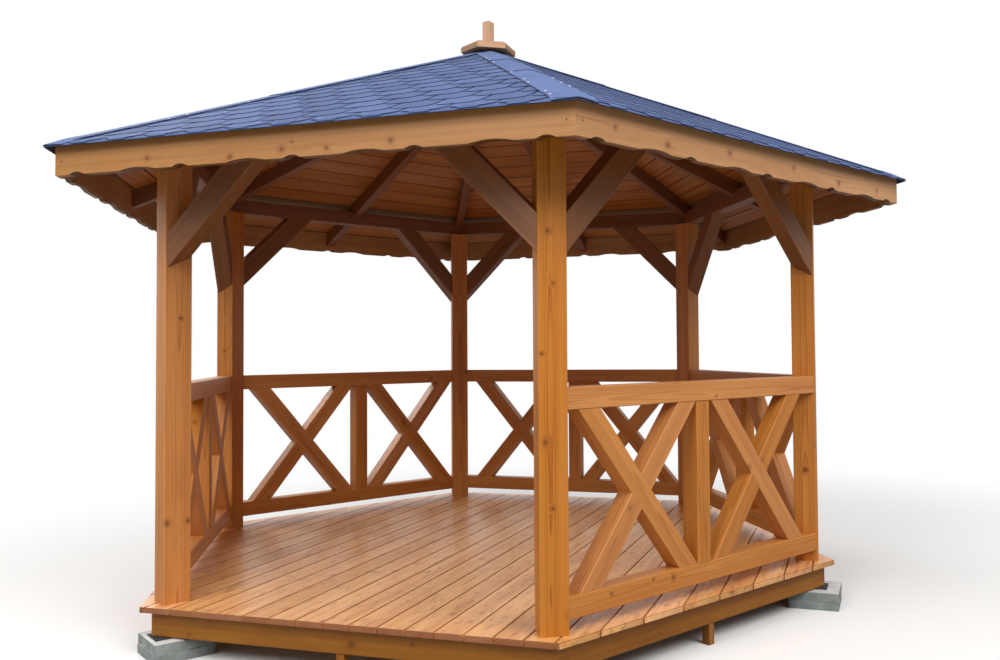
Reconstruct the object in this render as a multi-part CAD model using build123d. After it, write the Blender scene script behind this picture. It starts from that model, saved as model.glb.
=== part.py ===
from build123d import *

import math
import os

# Hexagonal garden gazebo of planed softwood, open at the front and railed on the other five sides.
# Millimetres, +Z up. The origin is on the ground under the centre, and the entrance faces -Y.

# Plan: a regular hexagon through the centres of the posts
post_radius = 2000
sides = 6
edge_chamfer = 4

# Supports under the floor, from the ground up
slab_size = 290
slab_height = 50
slab_reach = 187
slab_turns = (-2, -3)
pad_size = 150
# The front left slabs lie off their place, inward and along the next side; so does their pad
stray_slab = (-60, 13)
stray_pad = (-10, 20)
pad_height = 6
stub_width = 40

# Floor
rim_height = 125
rim_thickness = 45
rim_overhang = 85
joist_thickness = 45
joist_count = 7
deck_thickness = 28
deck_overhang = 51

# Posts, rails and crosses
post_size = 130
post_height = 2245
timber = 100
timber_reveal = 6
bottom_rail_gap = 63
rail_top = 1073
cross_width = 105
cross_depth = 94
middle_post_shift = -44
first_cross_gap = 13
second_cross_gap = 24
last_cross_gap = 77

# Knee braces and the ring of wall plates
brace_width = 125
brace_drop = 585
brace_angle = 45
plate_height = 100

# Roof frame: the rafters' top edges stand over the plates and meet in one point over the centre
rafter_rise = 24
roof_pitch = 24.35
rafter_width = 60
rafter_depth = 95
king_across_flats = 120
king_drop = 35
king_rise = 2
king_chamfer = 12

# Roof covering, eaves and finial
board_thickness = 20
shingle_thickness = 8
cap_thickness = 5
cap_width = 195
cap_gap = 6
fascia_thickness = 45
fascia_height = 149
fascia_overhang = 467
shingle_overhang = 48
finial_radius = 180
finial_thickness = 45
finial_bevel = 12
finial_turn = 30
peg_size = 55
peg_height = 175
peg_turn = -10
peg_chamfer = 8

# Scalloped lower edge of the fascia boards
notch_count = 5
notch_width = 80
notch_rise = 12
notch_inset = 122
wave_width = 196
wave_rise = 12
wave_shift = 55
shoulder_radius = 15

# Sizes worked out from those above
step = 360 / sides
half_step = math.radians(step / 2)
half_side = post_radius * math.sin(half_step)
apothem = post_radius * math.cos(half_step)
deck_top = 2 * slab_height + pad_height + rim_height + deck_thickness
rim_bottom = deck_top - deck_thickness - rim_height
rim_face = apothem + rim_overhang
plate_bottom = deck_top + post_height
plate_top = plate_bottom + plate_height
post_corner = post_size / 2 * (math.cos(half_step) + math.sin(half_step))
outer_face = apothem + post_corner - timber_reveal
inner_face = outer_face - timber
side_line = (outer_face + inner_face) / 2
bottom_rail_top = bottom_rail_gap + timber
cross_rise = rail_top - timber - bottom_rail_top
slope = math.tan(math.radians(roof_pitch))
hip_pitch = math.degrees(math.atan(slope * math.cos(half_step)))
apex_level = plate_top + rafter_rise + outer_face * slope
fascia_face = apothem + fascia_overhang
board_edge = fascia_face - fascia_thickness
shingle_edge = fascia_face + shingle_overhang
finial_level = apex_level + king_rise
# Larger than the whole, for pieces that are cut to length
tall = 2 * apex_level
wide = 4 * post_radius

side_names = ("front", "front_right", "back_right", "back", "back_left", "front_left")
corner_names = ("front_left", "front_right", "right", "back_right", "back_left", "left")
railed_sides = range(1, sides)


def save(name, shape):
    """Writes one node."""
    export_step(shape, f"parts/{name}.step")


def around(shape, index):
    """Turns a piece of the front side to another side."""
    return Rot(0, 0, step * index) * shape


def corner_angle(index):
    """Direction of a post from the centre, in degrees."""
    return step * index - 90 - step / 2


def group(shapes):
    """Joins separate solids into one node."""
    return Compound(children=[solid for shape in shapes for solid in shape.solids()])


def prism(points, low, high):
    """Upright solid on a plan outline."""
    return Pos(0, 0, low) * extrude(make_face(Polyline(*points, close=True)), amount=high - low)


def hexagon(face_distance, low, high):
    """Upright hexagonal solid, given the distance from the centre to its faces."""
    outline = RegularPolygon(face_distance / math.cos(half_step), sides, rotation=0)
    return Pos(0, 0, low) * extrude(outline, amount=high - low)


def sector():
    """Upright slice of the plan that belongs to the front side."""
    reach = wide / 2
    spread = reach * math.tan(half_step)
    return prism([(0, 0), (-spread, -reach), (spread, -reach)], 0, tall)


def beam(length, depth, height, chamfered=edge_chamfer):
    """Timber along X with its long edges taken off."""
    section = chamfer(Rectangle(depth, height).vertices(), length=chamfered)
    return extrude(Plane.YZ * section, amount=length / 2, both=True)


def post_face(distance):
    """Half the length between the facing sides of two posts, at a distance from the centre."""
    outward = distance - apothem
    return half_side - (post_size / 2 - outward * math.sin(half_step)) / math.cos(half_step)


def between_posts(low, high):
    """Upright solid that fills the front side between its posts."""
    near, far = outer_face + timber, inner_face - timber
    return prism([(-post_face(near), -near), (post_face(near), -near),
                  (post_face(far), -far), (-post_face(far), -far)], low, high)


def roof_plane(above=0.0):
    """Plane of the front slope, moved out from the tops of the rafters."""
    a = math.radians(roof_pitch)
    lift = above / math.cos(a)
    return Plane(origin=(0, 0, apex_level + lift), x_dir=(1, 0, 0), z_dir=(0, -math.sin(a), math.cos(a)))


def below_slope(shape, index=0):
    """Keeps what lies under one slope of the roof."""
    turned = Rot(0, 0, -step * index) * shape
    return around(split(turned, bisect_by=roof_plane(), keep=Keep.BOTTOM), index)


def under_roof(shape):
    """Keeps what lies under all six slopes, which bevels the tops of the hips."""
    for index in range(sides):
        shape = below_slope(shape, index)
    return shape


def slope_layer(low, high, reach):
    """One slope of a layer of the covering, cut level at the finial and fitted round the king block."""
    layer = split(sector(), bisect_by=roof_plane(low), keep=Keep.TOP)
    layer = split(layer, bisect_by=roof_plane(high), keep=Keep.BOTTOM)
    return (layer & hexagon(reach, 0, finial_level)) - king_outline(0, tall)


def king_outline(low, high):
    """Upright outline of the king block, with a flat towards each hip."""
    return Rot(0, 0, step / 2) * hexagon(king_across_flats / 2, low, high)


def slab_course(turn, size, low, height, stray):
    """Six square slabs under the posts, the first of them off its place."""
    centre = post_radius + slab_reach - slab_size / 2
    slabs = []
    for index in range(sides):
        outward, along = (0, 0) if index else stray
        piece = Pos(centre + outward, along, low + height / 2) * Rot(0, 0, turn) * Box(size, size, height)
        slabs.append(Rot(0, 0, corner_angle(index)) * piece)
    return group(slabs)


def make_supports():
    """Two courses of slabs and a pad under each corner, and a stub under the middle of each side."""
    lower_turn, upper_turn = slab_turns
    save("slabs_lower", slab_course(lower_turn, slab_size, 0, slab_height, stray_slab))
    save("slabs_upper", slab_course(upper_turn, slab_size, slab_height, slab_height, stray_slab))
    save("pier_pads", slab_course(upper_turn, pad_size, 2 * slab_height, pad_height, stray_pad))
    stub = Pos(0, -rim_face + rim_thickness / 2, rim_bottom / 2) * Box(stub_width, rim_thickness, rim_bottom)
    save("stub_posts", group(around(stub, index) for index in range(sides)))


def make_floor():
    """Rim joists with mitred ends, joists across between them, and the deck."""
    middle = rim_face - rim_thickness / 2
    rim = Pos(0, -middle, rim_bottom + rim_height / 2) * beam(2 * post_radius, rim_thickness, rim_height)
    rim = rim & sector()
    for index, name in enumerate(side_names):
        save(f"rim_joist_{name}", around(rim, index))
    inside = hexagon(rim_face - rim_thickness, rim_bottom, rim_bottom + rim_height)
    joist = beam(2 * post_radius, joist_thickness, rim_height)
    spacing = 2 * (rim_face - rim_thickness) / (joist_count + 1)
    first = -spacing * (joist_count - 1) / 2
    joists = [Pos(0, first + spacing * row, rim_bottom + rim_height / 2) * joist & inside
              for row in range(joist_count)]
    save("floor_joists", group(joists))
    deck = hexagon(rim_face + deck_overhang, deck_top - deck_thickness, deck_top)
    save("deck", deck)


def make_posts():
    """Posts turned to face outwards from the centre."""
    post = Rot(0, 90, 0) * beam(post_height, post_size, post_size)
    post = Pos(post_radius, 0, deck_top + post_height / 2) * post
    for index, name in enumerate(corner_names):
        save(f"post_{name}", Rot(0, 0, corner_angle(index)) * post)


def make_rail(low):
    """Rail of the front side, cut to the posts that it runs between."""
    rail = Pos(0, -side_line, deck_top + low + timber / 2) * beam(2 * post_radius, timber, timber)
    return rail & between_posts(0, tall)


def cross_bar(start, end, rising):
    """One bar of a cross before it is lapped, cut level by the rails, between two places along the side."""
    # The bar's level cut, its lean and its width depend on one another: a quadratic in the cut's length
    span, square = end - start, cross_width ** 2
    a, b = cross_rise ** 2 - square, 2 * square * span
    c = -square * (span ** 2 + cross_rise ** 2)
    cut = (-b + math.sqrt(b ** 2 - 4 * a * c)) / (2 * a)
    lean = math.degrees(math.atan2(cross_rise, span - cut))
    level = deck_top + bottom_rail_top + cross_rise / 2
    bar = Rot(0, -lean if rising else lean, 0) * beam(wide, cross_depth, cross_width)
    bar = Pos((start + end) / 2, -side_line, level) * bar
    return bar & Pos(0, 0, level) * Box(wide, wide, cross_rise)


def lapped_cross(start, end):
    """The two bars of a cross, halved into one another: the falling one runs through on the outer face."""
    falling, rising = cross_bar(start, end, False), cross_bar(start, end, True)
    half = Box(wide, cross_depth, 2 * tall, align=(Align.CENTER, Align.MAX, Align.CENTER))
    outer_half = Pos(0, -side_line, 0) * half
    inner_half = Pos(0, cross_depth - side_line, 0) * half
    return falling - (rising & inner_half), rising - (falling & outer_half)


def make_railings():
    """Rails, middle posts and halved crosses of the five closed sides."""
    top_rail, bottom_rail = make_rail(rail_top - timber), make_rail(bottom_rail_gap)
    post_edge = post_face(inner_face)
    before, after = middle_post_shift - timber / 2, middle_post_shift + timber / 2
    first_outer, first_inner = lapped_cross(first_cross_gap - post_edge, before)
    second_outer, second_inner = lapped_cross(after + second_cross_gap, post_edge - last_cross_gap)
    outer_bars, inner_bars = (first_outer, second_outer), (first_inner, second_inner)
    middle = Rot(0, 90, 0) * beam(cross_rise, timber, timber)
    middle = Pos(middle_post_shift, -side_line, deck_top + bottom_rail_top + cross_rise / 2) * middle
    save("top_rails", group(around(top_rail, index) for index in railed_sides))
    save("bottom_rails", group(around(bottom_rail, index) for index in railed_sides))
    save("middle_posts", group(around(middle, index) for index in railed_sides))
    save("crosses_outer", group(around(bar, index) for index in railed_sides for bar in outer_bars))
    save("crosses_inner", group(around(bar, index) for index in railed_sides for bar in inner_bars))


def make_plate():
    """Wall plate of the front side, mitred to its neighbours over the posts."""
    plate = Pos(0, -side_line, plate_bottom + plate_height / 2)
    return plate * beam(2 * post_radius, timber, plate_height) & sector()


def make_braces():
    """Two knee braces a side, seated on the facing side of the post and under the plate."""
    a = math.radians(brace_angle)
    toe = -post_face(outer_face)
    centre = (toe - brace_width / 2 * math.sin(a), -side_line,
              plate_bottom - brace_drop + brace_width / 2 * math.cos(a))
    brace = Pos(*centre) * Rot(0, -brace_angle, 0) * beam(2 * post_radius, timber, brace_width)
    brace = brace & between_posts(0, plate_bottom)
    brace = brace & Pos(-half_side, 0, 0) * Box(2 * half_side, 2 * tall, 2 * tall)
    braces = []
    for index in range(sides):
        braces += [around(brace, index), around(mirror(brace, about=Plane.YZ), index)]
    save("knee_braces", group(braces))


def rafter(pitch, inner_end):
    """Rafter along +X under the apex, square-edged, with its foot left long."""
    a = math.radians(pitch)
    depth = rafter_depth / math.cos(a)
    reach = wide / 2
    top = apex_level + rafter_depth
    drop = reach * math.tan(a)
    outline = Polyline((inner_end, top), (reach, top), (reach, apex_level - depth - drop),
                       (inner_end, apex_level - depth - inner_end * math.tan(a)), close=True)
    return extrude(Plane.XZ * make_face(outline), amount=rafter_width / 2, both=True)


def make_roof_frame():
    """Hip rafters on a king block, a rafter to the middle of each side, and their notches over the plates."""
    plate = make_plate()
    for index, name in enumerate(side_names):
        save(f"wall_plate_{name}", around(plate, index))
    eaves = hexagon(fascia_face - fascia_thickness, 0, tall)
    hip = Rot(0, 0, corner_angle(1)) * rafter(hip_pitch, king_across_flats / 2)
    hip = under_roof(hip & eaves) - plate - around(plate, 1)
    save("hip_rafters", group(around(hip, index) for index in range(sides)))
    # The inner end of a side rafter is cut to the two hips beside it
    tip = rafter_width / 2 / math.sin(half_step)
    reach = wide / 2
    spread = (reach - tip) * math.tan(half_step)
    bay = prism([(0, -tip), (-spread, -reach), (spread, -reach)], 0, tall)
    side_rafter = Rot(0, 0, -90) * rafter(roof_pitch, 0)
    side_rafter = below_slope(side_rafter & eaves & bay) - plate - king_outline(0, tall)
    save("side_rafters", group(around(side_rafter, index) for index in range(sides)))
    hip_bottom = rafter_depth / math.cos(math.radians(hip_pitch))
    hip_bottom += king_across_flats / 2 * math.tan(math.radians(hip_pitch))
    king = king_outline(apex_level - hip_bottom - king_drop, finial_level)
    bottom = king.faces().sort_by(Axis.Z)[0]
    save("king_block", chamfer(bottom.edges(), length=king_chamfer))


def hip_cap():
    """Folded strip over the hip between the front side and the next one."""
    covering = board_thickness + shingle_thickness
    layer = slope_layer(covering, covering + cap_thickness, shingle_edge)
    strip = Rot(0, 0, corner_angle(1)) * Pos(wide / 4, 0, 0) * Box(wide / 2, cap_width, 2 * tall)
    beside_middle = Pos(cap_gap / 2 + wide / 4, 0, 0) * Box(wide / 2, wide, 2 * tall)
    half = layer & strip & beside_middle
    return half + around(mirror(half, about=Plane.YZ), 1)


def scallops(half, low):
    """Start, top and end of each arched cut in a fascia's lower edge: small notches and waves by turns."""
    pitch = (2 * half - 2 * notch_inset) / (notch_count - 1)
    for place in range(2 * notch_count - 1):
        centre = -half + notch_inset + pitch / 2 * place
        width, rise = notch_width, notch_rise
        if place % 2:
            centre, width, rise = centre + wave_shift, wave_width, wave_rise
        yield (centre - width / 2, low), (centre, low + rise), (centre + width / 2, low)


def make_fascia():
    """Fascia board of the front side: scalloped below, bevelled under the shingles, mitred at the ends."""
    half = fascia_face * math.tan(half_step)
    top = roof_plane(board_thickness)
    low = top.origin.Z - fascia_face * slope - fascia_height
    high = low + 2 * fascia_height
    lines, shoulders, last = [], [], (-half, low)
    for start, middle, end in scallops(half, low):
        lines += [Line(last, start), ThreePointArc(start, middle, end)]
        shoulders += [start, end]
        last = end
    lines += [Polyline(last, (half, low), (half, high), (-half, high), (-half, low))]
    face = make_face(lines)
    corners = [face.vertices().sort_by_distance(point)[0] for point in shoulders]
    board = extrude(Plane.XZ * fillet(corners, radius=shoulder_radius), amount=fascia_thickness)
    board = split(Pos(0, fascia_thickness - fascia_face, 0) * board, bisect_by=top, keep=Keep.BOTTOM)
    return board & sector()


def make_covering():
    """Boards, shingles and hip caps of the six slopes, and the fascia round the eaves."""
    covering = board_thickness + shingle_thickness
    boards = slope_layer(0, board_thickness, board_edge)
    shingles = slope_layer(board_thickness, covering, shingle_edge)
    fascia = make_fascia()
    for index, name in enumerate(side_names):
        save(f"roof_boards_{name}", around(boards, index))
        save(f"shingles_{name}", around(shingles, index))
        save(f"fascia_{name}", around(fascia, index))
    cap = hip_cap()
    save("hip_caps", group(around(cap, index) for index in range(sides)))


def make_finial():
    """Hexagonal plate on the king block and the peg that stands on it."""
    outline = RegularPolygon(finial_radius, sides, rotation=finial_turn)
    plate = Pos(0, 0, finial_level) * extrude(outline, amount=finial_thickness)
    top = plate.faces().sort_by(Axis.Z)[-1]
    save("finial_plate", chamfer(top.edges(), length=finial_bevel))
    peg_level = finial_level + finial_thickness
    peg = Pos(0, 0, peg_level + peg_height / 2) * Rot(0, 0, peg_turn) * Box(peg_size, peg_size, peg_height)
    top = peg.faces().sort_by(Axis.Z)[-1]
    save("finial_peg", chamfer(top.edges(), length=peg_chamfer))


os.makedirs("parts", exist_ok=True)
make_supports()
make_floor()
make_posts()
make_railings()
make_braces()
make_roof_frame()
make_covering()
make_finial()
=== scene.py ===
"""Looks of a hexagonal garden gazebo of stained softwood under slate-blue shingles.

Metres, +Z up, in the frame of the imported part. Each timber is a copy of its node that knows its grain, and
the boards, shingles, caps and nails are laid over the solids that stand for them.
"""

import logging
import math
import random
from dataclasses import dataclass
from enum import Enum
from typing import Iterable, Mapping, Sequence, Union

import bmesh
import bpy
from mathutils import Matrix, Vector
from mathutils import noise as field_noise


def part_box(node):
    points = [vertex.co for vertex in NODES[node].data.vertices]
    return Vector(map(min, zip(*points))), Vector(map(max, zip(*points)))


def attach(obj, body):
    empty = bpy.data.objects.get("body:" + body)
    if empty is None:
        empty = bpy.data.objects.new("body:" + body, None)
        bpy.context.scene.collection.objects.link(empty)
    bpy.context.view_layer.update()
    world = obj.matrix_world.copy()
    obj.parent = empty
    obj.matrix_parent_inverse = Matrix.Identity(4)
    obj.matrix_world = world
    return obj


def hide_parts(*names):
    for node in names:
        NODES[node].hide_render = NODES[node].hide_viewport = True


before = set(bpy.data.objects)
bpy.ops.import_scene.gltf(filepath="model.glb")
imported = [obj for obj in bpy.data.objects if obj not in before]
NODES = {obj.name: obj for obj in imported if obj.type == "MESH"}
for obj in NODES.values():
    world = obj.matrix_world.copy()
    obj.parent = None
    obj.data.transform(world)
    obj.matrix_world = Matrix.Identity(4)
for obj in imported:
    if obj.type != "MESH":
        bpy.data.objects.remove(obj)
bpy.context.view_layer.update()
ROOT = "root"

Socket = bpy.types.NodeSocket
Plug = Union[float, Sequence[float], Socket]
Colour = tuple[float, float, float, float]
Triple = tuple[float, float, float]
Outline = Sequence[tuple[float, float]]

log = logging.getLogger("gazebo")

# Names of what is written on the corners of a mesh
GRAIN = "grain"
FACE = "face"
MARK = "mark"

SIDES = ("front", "front_right", "back_right", "back", "back_left", "front_left")
CORNERS = ("front_left", "front_right", "right", "back_right", "back_left", "left")
STEP = math.radians(60)
HALF_STEP = STEP / 2
MM = 0.001
WHITE = (1.0, 1.0, 1.0, 1.0)
BLACK = (0.0, 0.0, 0.0, 1.0)

# Points nearer than the weld become one, and faces that turn by less than the flat angle become one face
WELD = 0.02 * MM
FLAT = math.radians(0.4)


class Slot(Enum):
    """Material slots of the part's record."""

    FRAME = "frame_wood"
    DECK = "deck_wood"
    BOARD = "roof_board_wood"
    SHINGLE = "shingle"
    CONCRETE = "concrete"
    FELT = "felt"


def srgb(red: float, green: float, blue: float) -> Colour:
    """Turns a colour as seen on screen, 0 to 255, into shader values.

    Args:
        red: Red share.
        green: Green share.
        blue: Blue share.

    Returns:
        Linear red, green, blue and an alpha of 1.
    """
    shares = [value / 255 for value in (red, green, blue)]
    linear = [share / 12.92 if share <= 0.04045 else ((share + 0.055) / 1.055) ** 2.4 for share in shares]
    return (*linear, 1.0)


class NodeGraph:
    """Nodes of one material or world, and short ways to add and link them."""

    def __init__(self, owner: bpy.types.Material | bpy.types.World) -> None:
        """Empties the tree.

        Args:
            owner: What the nodes belong to.
        """
        owner.use_nodes = True
        self.tree = owner.node_tree
        self.tree.nodes.clear()

    def plug(self, socket: Socket, value: Plug) -> None:
        """Links an input, or sets it where the value is plain.

        Args:
            socket: Input of a node.
            value: Output of another node, or a plain value.
        """
        if isinstance(value, Socket):
            self.tree.links.new(value, socket)
        else:
            socket.default_value = value

    def node(self, kind: str, inputs: Mapping[str | int, Plug] | Sequence[Plug] = (),
             **settings: object) -> bpy.types.Node:
        """Adds a node.

        Args:
            kind: Type of the node.
            inputs: What goes into its inputs, in their order or by name or number.
            **settings: Properties to set on it.

        Returns:
            The new node.
        """
        node = self.tree.nodes.new(kind)
        for key, value in settings.items():
            setattr(node, key, value)
        for key, value in inputs.items() if isinstance(inputs, Mapping) else enumerate(inputs):
            self.plug(node.inputs[key], value)
        return node

    def split(self, vector: Socket) -> tuple[Socket, Socket, Socket]:
        """Three parts of a vector."""
        return tuple(self.node("ShaderNodeSeparateXYZ", [vector]).outputs)

    def join(self, *parts: Plug) -> Socket:
        """Vector made of three parts."""
        return self.node("ShaderNodeCombineXYZ", parts).outputs[0]

    def math(self, operation: str, *values: Plug) -> Socket:
        """What the named operation gives for one or more numbers."""
        return self.node("ShaderNodeMath", values, operation=operation).outputs[0]

    def chain(self, operation: str, values: Sequence[Plug]) -> Socket:
        """Works through a row of numbers with one operation.

        Args:
            operation: Name of the operation.
            values: Two or more numbers.

        Returns:
            The result.
        """
        total = values[0]
        for value in values[1:]:
            total = self.math(operation, total, value)
        return total

    def add(self, *values: Plug) -> Socket:
        """Adds up two or more numbers."""
        return self.chain("ADD", values)

    def times(self, *values: Plug) -> Socket:
        """Multiplies two or more numbers."""
        return self.chain("MULTIPLY", values)

    def distance(self, value: Socket, middle: float = 0.0) -> Socket:
        """How far a number lies from a middle, either way."""
        return self.math("ABSOLUTE", self.math("SUBTRACT", value, middle))

    def vector(self, operation: str, *vectors: Plug) -> bpy.types.Node:
        """Node that works on one or two vectors."""
        return self.node("ShaderNodeVectorMath", vectors, operation=operation)

    def length(self, vector: Socket) -> Socket:
        """Length of a vector."""
        return self.vector("LENGTH", vector).outputs["Value"]

    def apart(self, first: Plug, second: Plug) -> Socket:
        """Vector from the second place to the first."""
        return self.vector("SUBTRACT", first, second).outputs[0]

    def stretch(self, vector: Socket, factors: float | Triple) -> Socket:
        """Scales a vector by one factor, or by its own factor on each axis."""
        given = factors if isinstance(factors, tuple) else (factors,) * 3
        return self.vector("MULTIPLY", vector, given).outputs[0]

    def noise(self, vector: Socket, detail: float = 2.0, roughness: float = 0.5) -> Socket:
        """Soft noise about a half, with so many finer layers, each of the share that the roughness gives."""
        inputs = {"Vector": vector, "Scale": 1.0, "Detail": detail, "Roughness": roughness}
        return self.node("ShaderNodeTexNoise", inputs).outputs[0]

    def swing(self, value: Socket, amount: float) -> Socket:
        """Turns a noise about a half into one about zero, to an amount each way."""
        return self.times(self.math("SUBTRACT", value, 0.5), 2 * amount)

    def cells(self, vector: Socket, flat: bool, randomness: float = 1.0) -> bpy.types.Node:
        """Scattered cells, flat or in space: a node with their Distance, Color and Position."""
        inputs = {"Vector": vector, "Scale": 1.0, "Randomness": randomness}
        return self.node("ShaderNodeTexVoronoi", inputs, voronoi_dimensions="2D" if flat else "3D")

    def ramp(self, value: Plug, low: float, high: float, start: Plug = 0.0, end: Plug = 1.0,
             kind: str = "SMOOTHSTEP") -> Socket:
        """Step from start to end, of the named kind, while a value goes from low to high."""
        inputs = (value, low, high, start, end)
        return self.node("ShaderNodeMapRange", inputs, interpolation_type=kind).outputs[0]

    def fade(self, value: Plug, low: float, high: float) -> Socket:
        """Soft step from one down to zero."""
        return self.ramp(value, low, high, 1.0, 0.0)

    def blend(self, share: Plug, first: Plug, second: Plug) -> Socket:
        """Mixes two colours, with a share of the second."""
        # Inputs 6 and 7 are the two colours, and output 2 is the mixed one
        return self.node("ShaderNodeMix", {0: share, 6: first, 7: second}, data_type="RGBA").outputs[2]

    def coat(self, colour: Plug, *layers: tuple[Plug, Plug]) -> Socket:
        """Lays colours over one another.

        Args:
            colour: The lowest colour.
            *layers: Share and colour of each one above it.

        Returns:
            The colour that is seen.
        """
        for share, layer in layers:
            colour = self.blend(share, colour, layer)
        return colour


class ShaderGraph(NodeGraph):
    """Nodes of one material, which end in a principled shader."""

    def __init__(self, name: str) -> None:
        """Starts a material that holds only its shader.

        Args:
            name: Name of the material.
        """
        self.material = bpy.data.materials.new(name)
        super().__init__(self.material)
        self.shader = self.node("ShaderNodeBsdfPrincipled")
        self.node("ShaderNodeOutputMaterial", {"Surface": self.shader.outputs["BSDF"]})

    def set(self, **values: Plug) -> None:
        """Sets inputs of the shader, with underscores for the spaces in their names."""
        for key, value in values.items():
            self.plug(self.shader.inputs[key.replace("_", " ")], value)

    def attribute(self, name: str) -> Socket:
        """Vector that is written on the mesh under a name."""
        return self.node("ShaderNodeAttribute", attribute_name=name).outputs["Vector"]

    def place(self) -> Socket:
        """Place in the object's own frame, which is the frame of the whole part."""
        return self.node("ShaderNodeTexCoord").outputs["Object"]

    def facing(self) -> Socket:
        """How far a surface faces up, from -1 for an underside to 1 for a top."""
        return self.split(self.node("ShaderNodeTexCoord").outputs["Normal"])[2]

    def emboss(self, *millimetres: Socket) -> None:
        """Raises the surface by the sum of some heights in millimetres."""
        inputs = {"Strength": 1.0, "Distance": MM, "Height": self.add(*millimetres)}
        self.set(Normal=self.node("ShaderNodeBump", inputs).outputs[0])


@dataclass(frozen=True)
class Knot:
    """A knot at a known place of the part."""

    place: Triple
    radius: float
    strength: float = 0.85


@dataclass(frozen=True)
class WoodTouch:
    """What the features of wood add to its roughness, and to its height in millimetres."""

    streak_rough: float = 0.10
    late_rough: float = -0.06
    end_rough: float = 0.2
    fibre_height: float = 0.10
    late_height: float = 0.10
    crack_height: float = -0.8
    core_height: float = 0.15
    rim_height: float = -0.25
    streak_height: float = 0.12


@dataclass(frozen=True)
class WoodFinish:
    """Stained softwood: growth rings round a pith, streaks, fibres, knots and drying cracks.

    A share says how strongly a feature colours the wood, and a scale how often a pattern repeats in a metre
    along and across the grain. The bands of a knot are in radii from its middle.
    """

    name: str
    pale: Colour
    deep: Colour
    end_grain: Colour
    knot_colour: Colour = srgb(74, 35, 14)
    halo_colour: Colour = srgb(138, 74, 30)
    arris_colour: Colour | None = None
    base_depth: float = 0.28
    ring_width: float = 0.0042
    ring_share: float = 0.42
    ring_bend: float = 0.010
    ring_bend_scale: Triple = (1.1, 4.0, 4.0)
    ring_waver: float = 0.0011
    ring_waver_scale: Triple = (5.0, 24.0, 24.0)
    ring_swell: float = 0.007
    year_scale: float = 70.0
    heart_radii: tuple[float, float] = (0.02, 0.08)
    heart_share: float = 0.12
    streak_share: float = 0.36
    streak_scale: Triple = (0.5, 26.0, 26.0)
    cloud_share: float = 0.26
    cloud_scale: Triple = (1.4, 6.0, 6.0)
    cloud_light: float = 0.05
    fibre_share: float = 0.14
    fibre_scale: Triple = (6.0, 420.0, 420.0)
    blotch_share: float = 0.12
    blotch_start: float = 0.56
    blotch_band: float = 0.16
    blotch_scale: Triple = (4.0, 22.0, 22.0)
    tone_share: float = 0.08
    tone_fade: float = 0.05
    end_share: float = 0.75
    arris_share: float = 0.45
    knot_pitch: float = 0.36
    knot_lane: float = 0.11
    knot_stray: float = 0.85
    knot_stretch: float = 0.72
    knot_share: float = 0.2
    knot_strength: float = 0.75
    knot_faint: float = 0.35
    knot_radii: tuple[float, float] = (0.004, 0.013)
    knot_waver: float = 0.35
    knot_waver_scale: Triple = (45.0, 45.0, 0.0)
    core_band: tuple[float, float] = (0.15, 0.95)
    core_share: float = 0.85
    rim_radius: float = 0.8
    rim_band: tuple[float, float] = (0.05, 0.35)
    rim_share: float = 0.35
    halo_band: tuple[float, float] = (0.5, 3.0)
    halo_share: float = 0.55
    crack_share: float = 0.6
    crack_dark: float = 0.8
    crack_scale: Triple = (0.7, 15.0, 0.0)
    crack_band: tuple[float, float] = (0.001, 0.006)
    patch_scale: Triple = (0.9, 4.0, 0.0)
    patch_band: tuple[float, float] = (0.58, 0.64)
    roughness: float = 0.46
    gloss: float = 0.35
    touch: WoodTouch = WoodTouch()
    knots: tuple[Knot, ...] = ()

    def build(self) -> bpy.types.Material:
        """Makes the material.

        Returns:
            The finished material.
        """
        g, touch = ShaderGraph(self.name), self.touch
        grain, face = g.attribute(GRAIN), g.attribute(FACE)
        end, arris, tone = g.split(g.attribute(MARK))
        side = g.math("SUBTRACT", 1.0, end)
        core, rim, halo = self._knots(g, face, side)
        late, heart = self._rings(g, grain, halo)
        streak = g.noise(g.stretch(grain, self.streak_scale), detail=3.0)
        cloud = g.noise(g.stretch(grain, self.cloud_scale), detail=2.0)
        fibre = g.noise(g.stretch(grain, self.fibre_scale), detail=1.0)
        stain = g.noise(g.stretch(grain, self.blotch_scale), detail=3.0, roughness=0.6)
        blotch = g.ramp(stain, self.blotch_start, self.blotch_start + self.blotch_band)
        crack = self._cracks(g, face, side)
        depth = g.add(self.base_depth, g.times(late, self.ring_share), g.swing(streak, self.streak_share),
                      g.swing(cloud, self.cloud_share), g.swing(fibre, self.fibre_share),
                      g.times(heart, self.heart_share))
        colour = g.coat(
            g.blend(depth, self.pale, self.deep),
            (g.times(blotch, side, self.blotch_share), self.halo_colour),
            (g.times(halo, self.halo_share), self.halo_colour),
            (g.times(core, self.core_share), self.knot_colour),
            (g.times(rim, self.rim_share), self.knot_colour),
            (g.times(end, self.end_share), self.end_grain),
            # Narrow edge faces: pale by default, for thinner stain on the edges and a painted highlight; a
            # dark arris colour paints shade into joints
            (g.times(arris, self.arris_share), self.arris_colour or self.pale),
            (g.times(crack, self.crack_dark), self.knot_colour))
        toned = g.node("ShaderNodeHueSaturation", {
            "Saturation": g.add(1.0, g.times(tone, -self.tone_fade)),
            "Value": g.add(1.0, g.times(tone, self.tone_share), g.swing(cloud, self.cloud_light)),
            "Color": colour})
        rough = g.add(self.roughness, g.swing(streak, touch.streak_rough), g.times(late, touch.late_rough),
                      g.times(end, touch.end_rough))
        g.set(Base_Color=toned.outputs[0], Roughness=rough, Specular_IOR_Level=self.gloss)
        g.emboss(g.times(fibre, touch.fibre_height), g.times(late, touch.late_height),
                 g.times(crack, touch.crack_height), g.times(core, touch.core_height),
                 g.times(rim, touch.rim_height), g.swing(streak, touch.streak_height))
        return g.material

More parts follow.
